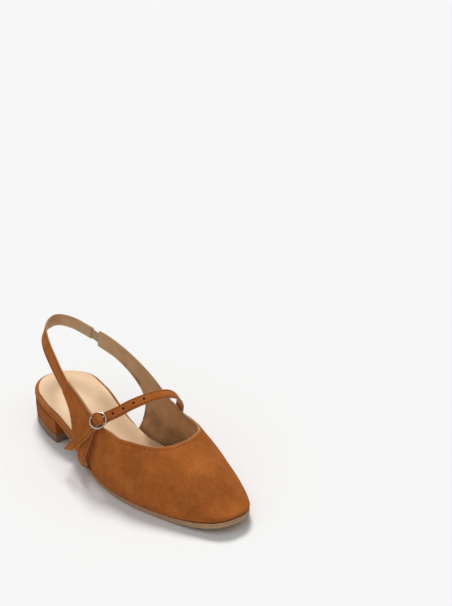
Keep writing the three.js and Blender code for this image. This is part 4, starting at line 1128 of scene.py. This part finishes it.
def punch_holes(strap, middles, normals, way, at_bar):
    """Row of shallow round holes cut into the strap between the bar and the inner side, their insides
    painted dark as shade. way is the length along the strap before it swells over the bar."""
    angle = np.linspace(0, 2 * np.pi, 21)[:, None]
    cutters = []
    for k in range(SPARE_HOLES):
        want = at_bar - (k + FIRST_HOLE) * HOLE_PITCH
        spot, ahead = (np.array([np.interp(at, way, c) for c in middles.T]) for at in (want, want + 0.5))
        face = unit(np.array([np.interp(want, way, c) for c in normals.T]))
        run = unit(ahead - spot)
        circle = (run * np.cos(angle) + np.cross(face, run) * np.sin(angle)) * HOLE_DIAMETER / 2
        cutters.append((np.stack([spot + circle * s + face * d for s, d in
                                  ((0, -HOLE_DEPTH), (1, -HOLE_DEPTH), (1, 3), (0, 3))]), 0))
    # The cutter's dark colour of painted shade passes to the cut walls and floor.
    cutter = make("hole_cutters", cutters, HOLE_SHADE)
    punch = strap.modifiers.new("holes", "BOOLEAN")
    punch.operation = "DIFFERENCE"
    punch.solver = "EXACT"
    punch.material_mode = "TRANSFER"
    punch.object = cutter
    strap.data = bpy.data.meshes.new_from_object(
        strap.evaluated_get(bpy.context.evaluated_depsgraph_get()))
    strap.modifiers.clear()
    bpy.data.objects.remove(cutter)


def make_instep_strap():
    """Instep strap: over the foot, under the ring's rim, over its bar and out to a slanted free end."""
    over_bar = ring_rows([
        (-1.13 * RING_RADIUS, STRAP_UNDER_RIM, -0.15, 1),
        (-0.67 * RING_RADIUS, 0.92 * STRAP_UNDER_RIM, -0.6, 1),
        (-0.35 * RING_RADIUS, 0.5 * STRAP_OVER_BAR, -0.9, 1),
        (0, STRAP_OVER_BAR, 0, 1),
        (0.35 * RING_RADIUS, 0.5 * STRAP_OVER_BAR, 0.9, 1),
        (0.67 * RING_RADIUS, 0.92 * STRAP_UNDER_RIM, 0.6, 1),
        (1.13 * RING_RADIUS, STRAP_UNDER_RIM, 0.15, 1),
    ])
    rows, faces = joined(table_rows(STRAP), over_bar, table_rows(FREE_END))
    middles, normals = strap_line(rows, faces, 0.6)
    way = along(middles)
    left = way[-1] - way
    bar = ring_middle + ring_over * STRAP_OVER_BAR
    at_bar = way[np.argmin(np.linalg.norm(middles - bar, axis=-1))]
    puff = np.exp(-(((way - at_bar) / PUFF_REACH) ** 2))
    taper = (1 + 0.2 * puff) * (1 - 0.1 * ease(way - at_bar, 6, 20)) * (0.8 + 0.2 * ease(left, -0.5, 1.2))
    middles = middles + ring_over * puff[:, None]
    strap = strap_piece("instep_strap_suede", middles, normals, STRAP_WIDTH, STRAP_THICKNESS, "instep_strap",
                        taper, slant=FREE_END_SLANT)
    punch_holes(strap, middles, normals, way, at_bar)


def make_chape():
    """Chape: up from the feather line, round the bar and back beneath itself."""
    fold = [(FOLD_RADIUS * math.cos(a), FOLD_RADIUS * math.sin(a) - BAR_DROP, math.cos(a), math.sin(a))
            for a in np.radians(np.arange(45, 271, 45))]
    loop = ring_rows([(RING_RADIUS + 2 * GAP, CHAPE_UNDER_RIM, 0.1, 1),
                      (0.55 * RING_RADIUS, CHAPE_UNDER_RIM + CHAPE_THICKNESS / 2, 0.55, 1), *fold,
                      (0.5 * RING_RADIUS, CHAPE_UNDER_RIM - 0.8 * CHAPE_THICKNESS, -0.3, -1)])
    tucked = table_rows(np.array([(0.466, -0.87, 0.046, 0.0, -0.4, -0.9)]))
    rows, faces = joined(tucked, table_rows(CHAPE), loop)
    middles, normals = strap_line(rows, faces, 0.5)
    strap_piece("chape_suede", middles, normals, STRAP_WIDTH, CHAPE_THICKNESS, "buckle_strap")


def tube(points, radius, sides=20):
    """Round tube along a line of points: its circle stands square to the line."""
    run = unit(np.gradient(points, axis=0))
    aside = unit(np.cross(run, np.where(np.abs(run @ ring_over)[:, None] > 0.9, ring_along, ring_over)))
    up = np.cross(run, aside)
    angle = np.linspace(0, 2 * np.pi, sides + 1)
    size = np.broadcast_to(radius, len(points))[:, None, None]
    c, s = np.cos(angle)[None, :, None], np.sin(angle)[None, :, None]
    return points[:, None] + size * (aside[:, None] * c + up[:, None] * s)


def at_ring(a, c, o):
    """Point of the buckle's frame: along, across, over."""
    return (ring_middle + np.asarray(a, float)[..., None] * ring_along
            + np.asarray(c, float)[..., None] * ring_across + np.asarray(o, float)[..., None] * ring_over)


def torus(upright, radius, wire, middle_over, steps=72, sides=24):
    """Ring of wire round the buckle's middle, flat in its plane, or upright round the bar."""
    t = np.linspace(0, 2 * np.pi, steps + 1)[:, None]
    p = np.linspace(0, 2 * np.pi, sides + 1)[None]
    flat, out = (radius + wire / 2 * np.cos(p)), wire / 2 * np.sin(p)
    if upright:
        return at_ring(flat * np.cos(t), out + 0 * t, flat * np.sin(t) + middle_over)
    return at_ring(flat * np.cos(t), flat * np.sin(t), out + 0 * t + middle_over)


def make_buckle():
    """Round ring with its bar, and the prong with its eye round the bar and its tip on the rim."""
    radius, wire = RING_RADIUS - RING_SLIMMER, RING_WIRE - WIRE_SLIMMER
    ring = torus(False, radius, wire, 0.0)
    reach = np.linspace(-radius, radius, 30)
    bar = tube(at_ring(0 * reach, reach, -BAR_DROP * (1 - (reach / radius) ** 8)), BAR_WIRE / 2)
    make("ring_metal", [(ring, 0), (bar, 0)], METAL, "buckle_ring", 60)
    eye = torus(True, BAR_WIRE / 2 + GAP + PRONG_WIRE / 2, PRONG_WIRE, -BAR_DROP, 40, 16)
    root = np.array([-(BAR_WIRE / 2 + GAP), BAR_WIRE / 2 + GAP - BAR_DROP])
    tip = np.array([-radius - wire / 2, (RING_WIRE + PRONG_WIRE) / 2 + GAP])
    s = np.linspace(0, 1, 30)
    path = mix(root[None], tip[None], s[:, None])
    path[:, 1] -= 0.5 * np.maximum(s - 0.8, 0)
    wire = PRONG_WIRE / 2 * np.where(s > 0.94, np.sqrt(np.clip(1 - ((s - 0.94) / 0.06) ** 2, 0.02, 1)), 1)
    pin = tube(at_ring(path[:, 0], 0 * s, path[:, 1]), wire, 16)
    make("prong_metal", [(eye, 0), (pin, 0)], METAL, "buckle_prong", 60)


make_outsole()
make_heel()
make_rim()
make_sock()
make_upper()

# Stitches along the top edge, and down beside the inner seam
stitch(*on_upper(np.linspace(0.15, 29.9, 900), 2.6), 2.2, 1.4, 0.45)
stitch(*on_upper(np.full(60, SEAM_INNER - 0.17), np.linspace(3.5, 40, 60)))

make_elastic(*make_sling())
make_instep_strap()
make_chape()
make_buckle()
make_stitches()


# Camera, floor and light

# The layout's origin in the photograph's frame, and the turn from that frame to the layout's
POSE = (-149.634077, -196.346326, 0.899552043)
DISTANCE = 1500.0
ELEVATION = 0.431489102
FOCAL_PIXELS = 1596.6
PHOTO_HEIGHT = 606  # a quarter of the photograph's; FOCAL_PIXELS belongs to that size
SENSOR = 36.0
FLOOR_REACH = 6
FLOOR_DROP = 0.0003  # the floor lies just under the sole
SKY_LOW = 0.1
SKY_HIGH = 0.52
KEY_POWER = 2.3
FILL_POWER = 0.44


def from_photo(x, y, z):
    """Point of the photograph's frame (x right, y away, z up) in the row frame, in metres."""
    dx, dy = x - POSE[0], y - POSE[1]
    c, s = math.cos(POSE[2]), math.sin(POSE[2])
    return (np.array([dx * c - dy * s, dx * s + dy * c, z]) - ORIGIN) / 1000


def aim(thing, place, target):
    """Puts thing at place and turns it to look at target."""
    thing.location = place
    thing.rotation_euler = (Vector(target) - Vector(place)).to_track_quat("-Z", "Y").to_euler()


camera = bpy.data.objects.new("camera", bpy.data.cameras.new("camera"))
bpy.context.scene.collection.objects.link(camera)
camera.data.sensor_fit = "AUTO"
camera.data.sensor_width = SENSOR
camera.data.lens = FOCAL_PIXELS * SENSOR / PHOTO_HEIGHT
camera.data.clip_end = 50
aim(camera, from_photo(0, -DISTANCE * math.cos(ELEVATION), DISTANCE * math.sin(ELEVATION)),
    from_photo(0, 0, 0))
bpy.context.scene.camera = camera

floor_mesh = bpy.data.meshes.new("floor")
corners = [(x * FLOOR_REACH, y * FLOOR_REACH, 0) for x, y in ((-1, -1), (1, -1), (1, 1), (-1, 1))]
floor_mesh.from_pydata(corners, [], [(0, 1, 2, 3)])
floor = bpy.data.objects.new("floor", floor_mesh)
floor.location.z = -FLOOR_DROP
bpy.context.scene.collection.objects.link(floor)
floor_paint = Paint("pale floor", 0.9, Base_Color=(0.9, 0.905, 0.91), Specular_IOR_Level=0.0)
floor.data.materials.append(floor_paint.material)

world = bpy.data.worlds.new("studio")
bpy.context.scene.world = world
world.use_nodes = True
sky, links = world.node_tree.nodes, world.node_tree.links
split = sky.new("ShaderNodeSeparateXYZ")
links.new(sky.new("ShaderNodeTexCoord").outputs["Generated"], split.inputs[0])
rise = sky.new("ShaderNodeMapRange")
for number, value in ((1, 0.0), (2, 1.0), (3, SKY_LOW), (4, SKY_HIGH)):
    rise.inputs[number].default_value = value
links.new(split.outputs["Z"], rise.inputs[0])
links.new(rise.outputs[0], sky["Background"].inputs["Strength"])
sky["Background"].inputs["Color"].default_value = (0.97, 0.99, 1, 1)


def lamp(name, power, angle, place, colour):
    """Soft sun that stands at place in the photograph's frame and looks at the picture's middle."""
    sun = bpy.data.lights.new(name, "SUN")
    sun.energy = power
    sun.angle = angle
    sun.color = colour
    thing = bpy.data.objects.new(name, sun)
    bpy.context.scene.collection.objects.link(thing)
    aim(thing, from_photo(*place), from_photo(0, 0, 0))


lamp("soft_key", KEY_POWER, 0.32, (-110, 780, 1000), (1, 0.985, 0.96))
lamp("soft_fill", FILL_POWER, 1.6, (-500, -900, 800), (1, 1, 1))

bpy.context.scene.view_settings.view_transform = "Standard"
